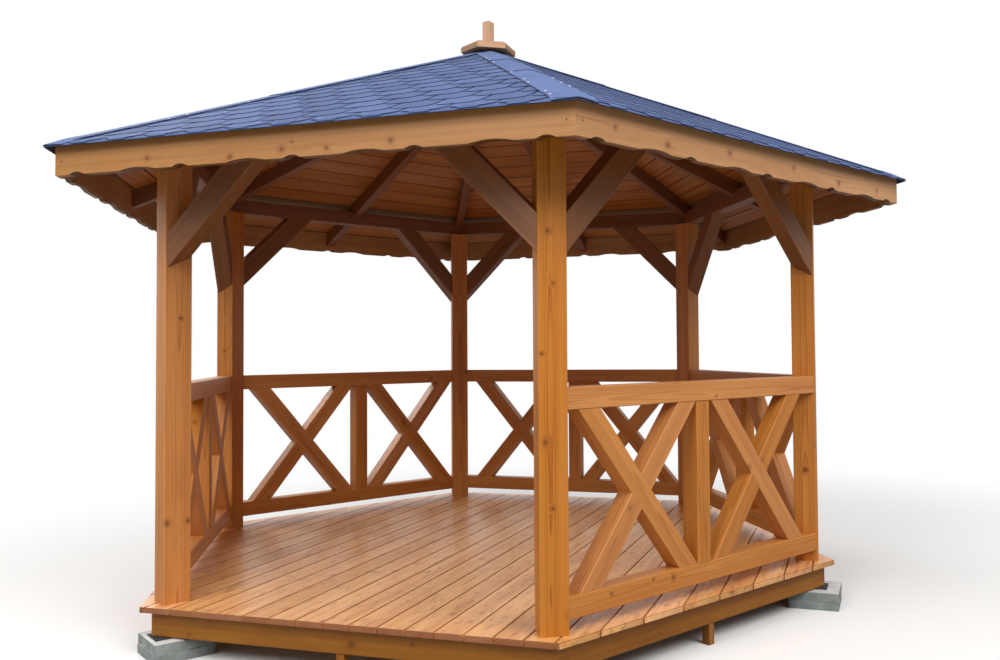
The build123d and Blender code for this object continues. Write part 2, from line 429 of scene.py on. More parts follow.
    def _rings(self, g: ShaderGraph, grain: Socket, halo: Socket) -> tuple[Socket, Socket]:
        """Growth rings round the pith.

        Args:
            g: Material that the nodes go into.
            grain: Place along the grain and from the pith.
            halo: Nearness of a knot, which the rings bend round.

        Returns:
            Strength of the late wood, and how deep the heart lies.
        """
        _, across, depth = g.split(grain)
        bend = g.noise(g.stretch(grain, self.ring_bend_scale), detail=1.0)
        waver = g.noise(g.stretch(grain, self.ring_waver_scale), detail=1.0)
        radius = g.add(g.length(g.join(across, depth, 0.0)), g.swing(bend, self.ring_bend),
                       g.swing(waver, self.ring_waver), g.times(halo, self.ring_swell))
        turn = g.math("FRACT", g.math("DIVIDE", radius, self.ring_width))
        # Over one year the wood darkens slowly and then ends at a sharp line, and some years are darker
        rise, fall = g.ramp(turn, 0.35, 0.9), g.fade(turn, 0.92, 1.0)
        year = g.noise(g.join(g.times(radius, self.year_scale), 0.0, 0.0), detail=1.0)
        late = g.times(rise, fall, g.ramp(year, 0.3, 0.65, 0.35, 1.0))
        return late, g.fade(radius, *self.heart_radii)

    def _knots(self, g: ShaderGraph, face: Socket, side: Socket) -> tuple[Socket, Socket, Socket]:
        """Knots scattered over the faces, and those at known places.

        Args:
            g: Material that the nodes go into.
            face: Place along and across a face.
            side: One on the long faces and zero on sawn ends.

        Returns:
            Strength of the knot itself, of its dark rim and of the halo round it.
        """
        waver = g.swing(g.noise(g.stretch(face, self.knot_waver_scale), detail=2.0), self.knot_waver)
        lanes = g.stretch(face, (1 / self.knot_pitch, 1 / self.knot_lane, 0.0))
        cells = g.cells(lanes, flat=True, randomness=self.knot_stray)
        away = g.apart(lanes, cells.outputs["Position"])
        metres = g.stretch(away, (self.knot_stretch * self.knot_pitch, self.knot_lane, 0.0))
        chance, size, fade = g.split(cells.outputs["Color"])
        reach = g.math("DIVIDE", g.length(metres), g.ramp(size, 0.0, 1.0, *self.knot_radii))
        strength = g.ramp(fade, 0.0, 1.0, self.knot_faint * self.knot_strength, self.knot_strength)
        present = g.times(g.math("LESS_THAN", chance, self.knot_share), side, strength)
        parts = self._knot_parts(g, reach, waver, present)
        for knot in self.knots:
            reach = g.math("DIVIDE", g.length(g.apart(g.place(), knot.place)), knot.radius)
            placed = self._knot_parts(g, reach, waver, knot.strength)
            parts = [g.math("MAXIMUM", old, new) for old, new in zip(parts, placed)]
        return tuple(parts)

    def _knot_parts(self, g: ShaderGraph, reach: Socket, waver: Socket, present: Plug) -> list[Socket]:
        """Core, rim and halo of a knot.

        Args:
            g: Material that the nodes go into.
            reach: Distance from its middle, in radii.
            waver: Unevenness of its outline.
            present: One where there is a knot.

        Returns:
            The strength of each of the three.
        """
        reach = g.add(reach, waver)
        rim = g.fade(g.distance(reach, self.rim_radius), *self.rim_band)
        parts = g.fade(reach, *self.core_band), rim, g.fade(reach, *self.halo_band)
        return [g.times(part, present) for part in parts]

    def _cracks(self, g: ShaderGraph, face: Socket, side: Socket) -> Socket:
        """Thin drying cracks that run along the grain.

        Args:
            g: Material that the nodes go into.
            face: Place along and across a face.
            side: One on the long faces and zero on sawn ends.

        Returns:
            Strength of the cracks.
        """
        near = g.distance(g.noise(g.stretch(face, self.crack_scale), detail=2.0), 0.5)
        patches = g.noise(g.stretch(face, self.patch_scale), detail=1.0)
        present = g.ramp(patches, *self.patch_band, 0.0, self.crack_share)
        return g.times(g.fade(near, *self.crack_band), present, side)


@dataclass(frozen=True)
class ShingleFinish:
    """Mineral granules on bitumen: slate blue on top, dark at the cut edges, with painted shade in the
    slots, along each tab's lower edge and on its side walls.
    """

    name: str
    colour: Colour
    shade: Colour
    bitumen: Colour = srgb(20, 24, 40)
    # Dark bitumen of the cut edges, darkened further as painted shade on the tabs' side walls and lower
    # edges
    cut: Colour = srgb(44, 52, 82)
    slot_height: float = 0.0
    slot_half: float = 0.0
    slot_blur: float = 1.6
    slot_fade: float = 0.01
    edge_shade_band: tuple[float, float] = (0.002, 0.008)
    edge_shade_share: float = 0.35
    arris_share: float = 0.6
    sawn_band: tuple[float, float] = (0.1, 0.45)
    below_band: tuple[float, float] = (-0.85, -0.6)
    granule_scale: float = 520.0
    speck_share: float = 0.5
    cloud_scale: float = 9.0
    cloud_share: float = 0.35
    bald_band: tuple[float, float] = (0.9, 0.97)
    bald_share: float = 0.4
    tone_share: float = 0.25
    roughness: float = 0.8
    grit_height: float = 0.5
    cloud_height: float = 0.6

    def build(self) -> bpy.types.Material:
        """Makes the material.

        Returns:
            The finished material.
        """
        g = ShaderGraph(self.name)
        grain, facing = g.attribute(GRAIN), g.facing()
        up, across, _ = g.split(grain)
        end, arris, tone = g.split(g.attribute(MARK))
        granules = g.cells(g.stretch(grain, self.granule_scale), flat=False)
        speck, size, _ = g.split(granules.outputs["Color"])
        cloud = g.noise(g.stretch(grain, self.cloud_scale), detail=3.0)
        depth = g.add(0.5, g.swing(speck, self.speck_share), g.swing(cloud, self.cloud_share),
                      g.times(tone, self.tone_share))
        bald = g.times(g.ramp(size, *self.bald_band), self.bald_share)
        colour = g.coat(g.blend(depth, self.shade, self.colour), (bald, self.bitumen))
        if self.slot_half:
            # The middle of each tab above the slot height is painted bitumen-dark as painted shade in the
            # slots of the course above
            near = g.fade(g.distance(across), self.slot_half, self.slot_blur * self.slot_half)
            lapped = g.ramp(up, self.slot_height, self.slot_height + self.slot_fade)
            # A band along each tab's lower edge is painted dark as painted shade along the course line
            edge = g.ramp(up, *self.edge_shade_band, self.edge_shade_share, 0.0)
            colour = g.coat(colour, (g.times(near, lapped), self.bitumen), (edge, self.cut))
        # Cut ends, side walls and softened edges take the cut colour: the real dark bitumen of a cut edge,
        # plus painted shade on the walls
        dark = g.chain("MAXIMUM", (end, g.fade(facing, *self.sawn_band), g.times(arris, self.arris_share)))
        colour = g.coat(colour, (dark, self.cut), (g.fade(facing, *self.below_band), self.bitumen))
        rough = g.add(self.roughness, g.swing(speck, 0.1))
        g.set(Base_Color=colour, Roughness=rough, Specular_IOR_Level=0.3)
        grit = g.math("SUBTRACT", 0.5, granules.outputs["Distance"])
        g.emboss(g.times(grit, self.grit_height), g.swing(cloud, self.cloud_height))
        return g.material


@dataclass(frozen=True)
class ConcreteFinish:
    """Rough cast concrete with pores, stains and sandy grain, with painted shade on the faces that don't
    face up.
    """

    name: str
    pale: Colour = srgb(228, 229, 226)
    dark: Colour = srgb(182, 184, 181)
    shade_and_stain: Colour = srgb(104, 114, 110)
    pit: Colour = srgb(84, 86, 84)
    base_depth: float = 0.45
    cloud_scale: float = 14.0
    cloud_share: float = 0.8
    cloud_height: float = 1.2
    sand_scale: float = 700.0
    sand_share: float = 0.25
    sand_height: float = 0.4
    pore_scale: float = 90.0
    pore_chance: float = 0.4
    pore_band: tuple[float, float] = (0.12, 0.28)
    pore_share: float = 0.5
    pore_height: float = -1.5
    side_shade_band: tuple[float, float] = (0.3, 0.8)
    side_shade_share: float = 0.72
    stain_swing: float = 0.25
    arris_share: float = 0.3
    tone_share: float = 0.12

    def build(self) -> bpy.types.Material:
        """Makes the material.

        Returns:
            The finished material.
        """
        g = ShaderGraph(self.name)
        grain = g.attribute(GRAIN)
        _, arris, tone = g.split(g.attribute(MARK))
        cloud = g.noise(g.stretch(grain, self.cloud_scale), detail=5.0, roughness=0.6)
        sand = g.noise(g.stretch(grain, self.sand_scale), detail=1.0)
        pores = g.cells(g.stretch(grain, self.pore_scale), flat=False)
        chance, _, _ = g.split(pores.outputs["Color"])
        near = g.fade(pores.outputs["Distance"], *self.pore_band)
        pore = g.times(near, g.math("LESS_THAN", chance, self.pore_chance))
        depth = g.add(self.base_depth, g.swing(cloud, self.cloud_share), g.swing(sand, self.sand_share),
                      g.times(tone, self.tone_share))
        # Faces that don't face up get the darker colour as painted shade, and the cloud noise adds stain
        # patches of it everywhere
        shade_and_stain_mask = g.ramp(g.facing(), *self.side_shade_band, self.side_shade_share, 0.0)
        colour = g.coat(
            g.blend(depth, self.pale, self.dark),
            (g.times(pore, self.pore_share), self.pit),
            (g.times(arris, self.arris_share), self.pale),
            (g.add(shade_and_stain_mask, g.swing(cloud, self.stain_swing)), self.shade_and_stain))
        g.set(Base_Color=colour, Roughness=0.92, Specular_IOR_Level=0.2)
        g.emboss(g.swing(cloud, self.cloud_height), g.times(sand, self.sand_height),
                 g.times(pore, self.pore_height))
        return g.material


@dataclass(frozen=True)
class FeltFinish:
    """Dark bitumen felt."""

    name: str
    colour: Colour = srgb(38, 40, 44)
    worn: Colour = srgb(66, 68, 72)
    speck_scale: float = 600.0
    fold_scale: float = 20.0

    def build(self) -> bpy.types.Material:
        """Makes the material.

        Returns:
            The finished material.
        """
        g = ShaderGraph(self.name)
        grain = g.attribute(GRAIN)
        speck = g.noise(g.stretch(grain, self.speck_scale), detail=1.0)
        fold = g.noise(g.stretch(grain, self.fold_scale), detail=2.0)
        colour = g.blend(g.add(speck, g.swing(fold, 0.3)), self.colour, self.worn)
        g.set(Base_Color=colour, Roughness=0.85, Specular_IOR_Level=0.25)
        g.emboss(g.times(speck, 0.3), fold)
        return g.material


@dataclass(frozen=True)
class NailFinish:
    """Coated steel of nail and screw heads."""

    name: str
    colour: Colour = srgb(232, 234, 238)
    worn: Colour = srgb(196, 198, 204)
    spangle_scale: float = 400.0
    spangle_height: float = 0.05

    def build(self) -> bpy.types.Material:
        """Makes the material.

        Returns:
            The finished material.
        """
        g = ShaderGraph(self.name)
        spangle = g.noise(g.stretch(g.place(), self.spangle_scale), detail=2.0)
        colour = g.blend(spangle, self.colour, self.worn)
        g.set(Base_Color=colour, Metallic=0.35, Roughness=g.ramp(spangle, 0.2, 0.8, 0.35, 0.55))
        g.emboss(g.times(spangle, self.spangle_height))
        return g.material


@dataclass
class Stick:
    """One timber, board or tab of a mesh: its faces, and its own frame with X along the grain."""

    faces: list[int]
    place: Matrix


@dataclass(frozen=True)
class GrainWriter:
    """Writes on each corner of a mesh where it lies in the grain, and what kind of face it is on.

    Attributes:
        pith_spread: How far the pith may lie off a timber's middle.
        arris_width: Width under which a face counts as a softened edge.
        kept: True to keep each piece's own frame, with no random shift.
        far: How far a random shift may go along the grain.
        end_cosine: How squarely a face crosses the grain when it counts as a sawn end.
    """

    pith_spread: float = 0.03
    arris_width: float = 0.009
    kept: bool = False
    far: float = 60.0
    end_cosine: float = 0.72

    def write(self, mesh: bpy.types.Mesh, sticks: Iterable[Stick], seed: str) -> None:
        """Writes the three attributes.

        Args:
            mesh: Mesh to write on.
            sticks: Its timbers, which together hold every face.
            seed: Name that the random places are drawn from.
        """
        draw = random.Random(seed)
        values = {name: [0.0] * (3 * len(mesh.loops)) for name in (GRAIN, FACE, MARK)}
        spread = self.pith_spread
        for stick in sticks:
            along = draw.uniform(0, self.far)
            shift = Vector((along, draw.uniform(-spread, spread), draw.uniform(-spread, spread)))
            tone, inverse = draw.uniform(-1, 1), stick.place.inverted()
            turned, sides = inverse.to_3x3(), {}
            if self.kept:
                shift = Vector()
            for index in stick.faces:
                polygon = mesh.polygons[index]
                normal = (turned @ polygon.normal).normalized()
                key = tuple(round(value) for value in normal)
                if key not in sides:
                    sides[key] = (draw.uniform(0, self.far), draw.uniform(0, self.far))
                end, arris = abs(normal.x) > self.end_cosine, self._is_arris(mesh, polygon)
                for loop in polygon.loop_indices:
                    point = inverse @ mesh.vertices[mesh.loops[loop].vertex_index].co
                    along, across = point.x, point.z * normal.y - point.y * normal.z
                    if end:
                        along, across = point.y, point.z
                    values[GRAIN][3 * loop:3 * loop + 3] = point + shift
                    values[FACE][3 * loop:3 * loop + 3] = along + sides[key][0], across + sides[key][1], 0.0
                    values[MARK][3 * loop:3 * loop + 3] = float(end), float(arris), tone
        for name, numbers in values.items():
            layer = mesh.attributes.new(name, "FLOAT_VECTOR", "CORNER")
            layer.data.foreach_set("vector", numbers)

    def _is_arris(self, mesh: bpy.types.Mesh, polygon: bpy.types.MeshPolygon) -> bool:
        """Tells whether a face is a narrow strip along an edge.

        Args:
            mesh: Mesh that the face is in.
            polygon: The face.

        Returns:
            True for a narrow strip.
        """
        points = [mesh.vertices[index].co for index in polygon.vertices]
        longest = max((a - b).length for a, b in zip(points, points[1:] + points[:1]))
        return polygon.area < self.arris_width * longest


def link_object(name: str, data: bpy.types.ID) -> bpy.types.Object:
    """Adds an object to the scene.

    Args:
        name: Name of the object.
        data: Its mesh, light or camera.

    Returns:
        The new object.
    """
    made = bpy.data.objects.new(name, data)
    bpy.context.scene.collection.objects.link(made)
    return made


def close_mesh(work: bmesh.types.BMesh, name: str) -> bpy.types.Mesh:
    """Turns a working mesh into a lasting one.

    Args:
        work: The working mesh, which is freed.
        name: Name of the new mesh.

    Returns:
        The new mesh.
    """
    mesh = bpy.data.meshes.new(name)
    work.to_mesh(mesh)
    work.free()
    return mesh


def add_head(work: bmesh.types.BMesh, radius: float, squash: Triple, place: Matrix) -> None:
    """Adds a flattened ball, the head of a nail or screw, in the frame of its middle."""
    made = bmesh.ops.create_uvsphere(work, u_segments=12, v_segments=6, radius=radius)
    bmesh.ops.transform(work, matrix=place @ Matrix.Diagonal((*squash, 1)), verts=made["verts"])


def axes(x_axis: Vector, y_axis: Vector, z_axis: Vector) -> Matrix:
    """Rotation to a frame that is given by its three axes."""
    return Matrix((x_axis, y_axis, z_axis)).transposed().to_4x4()


class Piece:
    """A mesh that becomes a shown piece of the part."""

    smooth_angle = math.radians(50)

    def __init__(self, name: str, mesh: bpy.types.Mesh, material: bpy.types.Material) -> None:
        """Makes the object.

        Args:
            name: Name of the piece.
            mesh: Its mesh, in the frame of the part.
            material: Its material.
        """
        mesh.name = name
        mesh.materials.clear()
        mesh.materials.append(material)
        mesh.polygons.foreach_set("use_smooth", [True] * len(mesh.polygons))
        mesh.polygons.foreach_set("material_index", [0] * len(mesh.polygons))
        mesh.set_sharp_from_angle(angle=self.smooth_angle)
        self.object = link_object(name, mesh)
        self.object.modifiers.new("even_light", "WEIGHTED_NORMAL").keep_sharp = True

    def fit(self, *nodes: str, slot: Slot | None = None) -> None:
        """Fixes the piece to the body, in the place of its nodes.

        Args:
            *nodes: Nodes that it stands for.
            slot: Material slot of the record. Not used.
        """
        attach(self.object, ROOT)
        if nodes:
            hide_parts(*nodes)
        log.info("%s: %d faces", self.object.name, len(self.object.data.polygons))


def clean_copy(node: str) -> bpy.types.Mesh:
    """Copies a node's mesh and joins its flat facets.

    Args:
        node: Name of the node.

    Returns:
        A new mesh with one face for each flat side.
    """
    work = bmesh.new()
    work.from_mesh(NODES[node].data)
    for layer in list(work.loops.layers.uv):
        work.loops.layers.uv.remove(layer)
    bmesh.ops.remove_doubles(work, verts=work.verts, dist=WELD)
    bmesh.ops.dissolve_limit(work, angle_limit=FLAT, verts=work.verts, edges=work.edges)
    bmesh.ops.recalc_face_normals(work, faces=work.faces)
    return close_mesh(work, node)


def islands(mesh: bpy.types.Mesh) -> list[list[int]]:
    """Faces of each separate solid of a mesh.

    Args:
        mesh: The mesh.

    Returns:
        Lists of face numbers.
    """
    parent = list(range(len(mesh.vertices)))

    def root(index: int) -> int:
        """Finds the vertex that stands for a whole solid.

        Args:
            index: Number of one of its vertices.

        Returns:
            Number of the one that stands for it.
        """
        while parent[index] != index:
            parent[index] = parent[parent[index]]
            index = parent[index]
        return index

    for edge in mesh.edges:
        parent[root(edge.vertices[0])] = root(edge.vertices[1])
    groups: dict[int, list[int]] = {}
    for polygon in mesh.polygons:
        groups.setdefault(root(polygon.vertices[0]), []).append(polygon.index)
    return list(groups.values())


def stick_of(mesh: bpy.types.Mesh, faces: list[int], axis: Vector | None = None) -> Stick:
    """Works out a timber's frame from its longest edge and its largest side.

    Args:
        mesh: Mesh that the timber is in.
        faces: Its faces.
        axis: Direction of the grain, where it is known.

    Returns:
        The timber with its frame.
    """
    polygons = [mesh.polygons[index] for index in faces]
    points = [mesh.vertices[index].co for polygon in polygons for index in polygon.vertices]
    # Lengths and areas are rounded, so that the first is taken among like ones
    if axis is None:
        edges = [mesh.vertices[b].co - mesh.vertices[a].co for polygon in polygons
                 for a, b in polygon.edge_keys]
        axis = max(edges, key=lambda edge: round(edge.length, 4))
    x_axis = axis.normalized()
    sides = [polygon for polygon in polygons if abs(polygon.normal.dot(x_axis)) < 0.5]
    normal = max(sides, key=lambda polygon: round(polygon.area, 5)).normal
    z_axis = (normal - x_axis * normal.dot(x_axis)).normalized()
    y_axis = z_axis.cross(x_axis)
    rotation = axes(x_axis, y_axis, z_axis)
    local = [rotation.transposed() @ point for point in points]
    middle = Vector([(min(p[i] for p in local) + max(p[i] for p in local)) / 2 for i in range(3)])
    return Stick(faces, Matrix.Translation(rotation @ middle) @ rotation)


def clip(outline: Outline, a: float, b: float, limit: float) -> Outline:
    """Cuts a convex outline along a straight line.

    Args:
        outline: Points in order.
        a: Share of x in the line's equation.
        b: Share of y in it.
        limit: What a * x + b * y may be at most.

    Returns:
        The part of the outline that is kept, which may be empty.
    """
    kept = []
    for (x0, y0), (x1, y1) in zip(outline, outline[1:] + outline[:1]):
        inside0, inside1 = limit - a * x0 - b * y0, limit - a * x1 - b * y1
        if inside0 >= 0:
            kept.append((x0, y0))
        if (inside0 >= 0) != (inside1 >= 0):
            share = inside0 / (inside0 - inside1)
            kept.append((x0 + share * (x1 - x0), y0 + share * (y1 - y0)))
    return kept


def tidy(outline: Outline, least: float) -> Outline:
    """Drops points of an outline that lie very near the one before."""
    return [point for point, before in zip(outline, outline[-1:] + outline[:-1])
            if math.dist(point, before) > least]


def area(outline: Outline) -> float:
    """Signed area of an outline, positive where it runs anticlockwise."""
    return sum(x0 * y1 - x1 * y0 for (x0, y0), (x1, y1) in zip(outline, outline[1:] + outline[:1])) / 2


def inset(outline: Outline, distance: float) -> Outline:
    """Moves the edges of a convex anticlockwise outline inwards.

    Args:
        outline: Points in order.
        distance: How far each edge moves.

    Returns:
        As many points as the outline has.
    """
    moved = []
    count = len(outline)
    for index, (x, y) in enumerate(outline):
        before, after = outline[index - 1], outline[(index + 1) % count]
        first = Vector((x - before[0], y - before[1])).normalized()
        second = Vector((after[0] - x, after[1] - y)).normalized()
        bisector = Vector((-first.y - second.y, first.x + second.x))
        # At a very sharp corner the point moves less than the edges would need
        scale = distance / max(0.3, 1 + first.dot(second))
        moved.append((x + bisector.x * scale, y + bisector.y * scale))
    return moved


class BoardStack:
    """Gathers boards, tabs and sheets with softened edges into one mesh."""

    # A board is left out when its area is under so many squares of the shortest edge
    sliver = 20

    def __init__(self) -> None:
        """Starts with no board."""
        self.vertices: list[Vector] = []
        self.faces: list[tuple[int, ...]] = []
        self.sticks: list[Stick] = []

    def add(self, outline: Outline, place: Matrix, low: float, high: float, soft_low: float = 0.0,
            soft_high: float = 0.0, least: float = 0.004) -> None:
        """Adds one board.

        Args:
            outline: Convex outline in the board's own X and Y.
            place: Frame of the board, with X along its grain.
            low: Height of its lower face over the frame's origin.
            high: Height of its upper face.
            soft_low: Width of the softened lower edges.
            soft_high: Width of the softened upper edges.
            least: Shortest edge that is kept.
        """
        outline = tidy(outline, least)
        if len(outline) < 3 or abs(area(outline)) < least * least * self.sliver:
            return
        if area(outline) < 0:
            outline = outline[::-1]
        levels = [(low, soft_low)] if soft_low else []
        levels += [(low + soft_low, 0.0), (high - soft_high, 0.0)]
        levels += [(high, soft_high)] if soft_high else []
        start, count, first_face = len(self.vertices), len(outline), len(self.faces)
        for height, step_in in levels:
            ring = inset(outline, step_in) if step_in else outline
            self.vertices += [place @ Vector((x, y, height)) for x, y in ring]
        self.faces.append(tuple(start + index for index in reversed(range(count))))
        for level in range(len(levels) - 1):
            base = start + level * count
            for index in range(count):
                after = (index + 1) % count
                self.faces.append((base + index, base + after, base + count + after, base + count + index))
        top = start + (len(levels) - 1) * count
        self.faces.append(tuple(top + index for index in range(count)))
        self.sticks.append(Stick(list(range(first_face, len(self.faces))), place))

    def mesh(self, name: str, writer: GrainWriter) -> bpy.types.Mesh:
        """Makes the mesh and writes its grain.

        Args:
            name: Name of the mesh, which also seeds the random grain.
            writer: Writer of the grain.

        Returns:
            The mesh.
        """
        mesh = bpy.data.meshes.new(name)
        mesh.from_pydata([tuple(vertex) for vertex in self.vertices], [], self.faces)
        mesh.update()
        writer.write(mesh, self.sticks, name)
        return mesh


@dataclass
class Slope:
    """One slope of the roof, with the plane that its rafters' tops lie in.

    Attributes:
        index: Number of the side, from the front.
        name: Name of the side.
        out: Direction away from the centre line, on the level.
        along: Direction along the eaves.
        up: Direction up the slope.
        normal: Direction that the slope faces.
        apex: Where its plane meets the centre line.
        pitch: Angle to the level.
    """

    index: int
    name: str
    out: Vector
    along: Vector
    up: Vector
    normal: Vector
    apex: Vector
    pitch: float

    @classmethod
    def from_frame(cls, index: int) -> "Slope":
        """Reads a slope from its boarding's node.

        Args:
            index: Number of the side, from the front.

        Returns:
            The slope.
        """
        mesh = NODES[f"roof_boards_{SIDES[index]}"].data
        normal = max(mesh.polygons, key=lambda polygon: polygon.area).normal.copy()
        if normal.z < 0:
            normal.negate()
        angle = STEP * index
        out = Vector((math.sin(angle), -math.cos(angle), 0))
        along = Vector((math.cos(angle), math.sin(angle), 0))
        up = normal.cross(along)
        low = min(vertex.co.dot(normal) for vertex in mesh.vertices)
        return cls(index, SIDES[index], out, along, up, normal, Vector((0, 0, low / normal.z)),
                   math.acos(normal.z))

    def place(self, height: float = 0.0) -> Matrix:
        """Frame of the slope at a height over its rafters: X along the eaves, Y up the slope."""
        lift = Matrix.Translation(self.apex + self.normal * height)
        return lift @ axes(self.along, self.up, self.normal)

    def up_at(self, run: float, height: float = 0.0) -> float:
        """Place up the slope of what lies at a distance from the centre, on the level."""
        return -(run - height * math.sin(self.pitch)) / math.cos(self.pitch)

    def between_hips(self, outline: Outline, height: float, margin: float = 0.0, x: float = 0.0,
                     y: float = 0.0) -> Outline:
        """Cuts an outline along both hips.

        Args:
            outline: Outline on the slope.
            height: Height over the rafters.
            margin: How far it stays inside the hips.
            x: Where the outline's own origin lies along the eaves.
            y: Where it lies up the slope.

        Returns:
            What is left of the outline.
        """
        lean = math.tan(HALF_STEP) * math.cos(self.pitch)
        room = math.tan(HALF_STEP) * height * math.sin(self.pitch) - margin
        outline = clip(outline, 1.0, lean, room - x - lean * y)
        return clip(outline, -1.0, lean, room + x - lean * y)


def on_sides(kind: str) -> list[str]:
    """Names of the six nodes of a kind."""
    return [f"{kind}_{side}" for side in SIDES]


def beside(index: int, along: float, out: float, height: float) -> Triple:
    """Place by a side: along from its middle, out from the centre line and over the ground."""
    across, ahead = math.sin(STEP * index), math.cos(STEP * index)
    return (out * across + along * ahead, along * across - out * ahead, height)


def at_post(index: int, out: float, aside: float, height: float) -> Triple:
    """Place by a post: out from the centre line, aside of the corner and over the ground."""
    cosine, sine = math.cos(STEP * (index - 2)), math.sin(STEP * (index - 2))
    return (out * cosine - aside * sine, out * sine + aside * cosine, height)


class Eaves:
    """Knots that show in the fascia of the two near sides."""

    face = -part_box("fascia_front")[0].y
    front = ((-0.75, 2.375, 0.011), (-0.31, 2.350, 0.013), (-0.05, 2.365, 0.013), (0.00, 2.395, 0.006),
             (0.17, 2.355, 0.011), (0.47, 2.365, 0.013))
    right = ((-1.05, 2.395, 0.009), (-0.73, 2.370, 0.014), (-0.30, 2.395, 0.013), (0.22, 2.395, 0.011),
             (0.64, 2.370, 0.013), (1.04, 2.375, 0.011))

    @classmethod
    def knots(cls) -> tuple[Knot, ...]:
        """Knots of both sides, given along the side, up from the ground and by their radius."""
        return tuple(Knot(beside(side, along, cls.face, height), radius, 0.8)
                     for side, marks in enumerate((cls.front, cls.right)) for along, height, radius in marks)


@dataclass
class TimberFrame:
    """All squared timbers, each node copied with its grain."""

    heart_spread: float = 0.022
    post: WoodFinish = WoodFinish(
        "stained_posts", srgb(212, 140, 66), srgb(148, 78, 26), srgb(142, 84, 44),
        knots=(Knot(at_post(0, 1.99, 0.065, 1.67), 0.010), Knot(at_post(0, 2.05, 0.065, 0.66), 0.013),
               Knot(at_post(0, 1.95, 0.065, 0.66), 0.011), Knot(at_post(1, 2.065, -0.02, 2.015), 0.009),
               Knot(at_post(1, 2.065, -0.05, 1.48), 0.008), Knot(at_post(1, 2.065, -0.005, 0.81), 0.009),
               Knot(at_post(2, 2.00, -0.065, 0.785), 0.015), Knot(at_post(5, 2.00, 0.065, 1.51), 0.012)))
    rail: WoodFinish = WoodFinish(
        "stained_rails", srgb(214, 146, 78), srgb(158, 86, 34), srgb(142, 84, 44),
        knots=(Knot(beside(1, 0.34, 1.815, 0.857), 0.014), Knot(beside(1, -0.43, 1.815, 0.40), 0.008),
               Knot(beside(1, -0.71, 1.815, 0.39), 0.007)))
    # Braces, rafters, king block and wall plates are darker than the posts and rails as painted shade under
    # the roof
    brace: WoodFinish = WoodFinish(
        "stained_braces_painted_shade", srgb(148, 94, 52), srgb(98, 56, 28), srgb(120, 70, 38), knot_strength=0.6)
    roof: WoodFinish = WoodFinish(
        "stained_rafters_painted_shade", srgb(142, 86, 48), srgb(94, 52, 28), srgb(100, 58, 32), knot_strength=0.6)
    rim: WoodFinish = WoodFinish(
        "stained_rims", srgb(172, 112, 40), srgb(110, 62, 18), srgb(128, 78, 40),
        cloud_share=0.5, blotch_share=0.45, blotch_start=0.53, knot_strength=0.6,
        knots=(Knot(beside(0, 0.06, 1.817, 0.155), 0.020, 0.7),
               Knot(beside(0, 0.37, 1.817, 0.18), 0.012, 0.7),
               Knot(beside(0, -0.83, 1.817, 0.13), 0.008, 0.7),
               Knot(beside(1, -0.39, 1.817, 0.14), 0.009, 0.7)))
    fascia: WoodFinish = WoodFinish(
        "stained_fascia", srgb(194, 140, 86), srgb(142, 92, 48), srgb(140, 92, 54),
        blotch_share=0.25, knot_share=0.05, knot_strength=0.6, knots=Eaves.knots())
    finial: WoodFinish = WoodFinish(
        "weathered_finial", srgb(208, 162, 126), srgb(158, 114, 84), srgb(150, 112, 86))

    def build(self) -> None:
        """Copies and dresses every timber node."""
        groups = (
            (self.post, [f"post_{corner}" for corner in CORNERS]),
            (self.rail, ["top_rails", "bottom_rails", "middle_posts", "crosses_outer", "crosses_inner"]),
            (self.brace, ["knee_braces"]),
            (self.roof, ["hip_rafters", "side_rafters", "king_block", *on_sides("wall_plate")]),
            (self.rim, ["floor_joists", "stub_posts", *on_sides("rim_joist")]),
            (self.fascia, on_sides("fascia")),
            (self.finial, ["finial_plate", "finial_peg"]),
        )
        for finish, nodes in groups:
            material = finish.build()
            for node in nodes:
                self._dress(node, material)

    def _dress(self, node: str, material: bpy.types.Material) -> None:
        """Copies one node and writes its grain.

        Args:
            node: Name of the node.
            material: Material of the piece.
        """
        mesh = clean_copy(node)
        sticks = [stick_of(mesh, faces) for faces in islands(mesh)]
        GrainWriter(self.heart_spread).write(mesh, sticks, node)
        Piece(f"timber_{node}", mesh, material).fit(node, slot=Slot.FRAME)


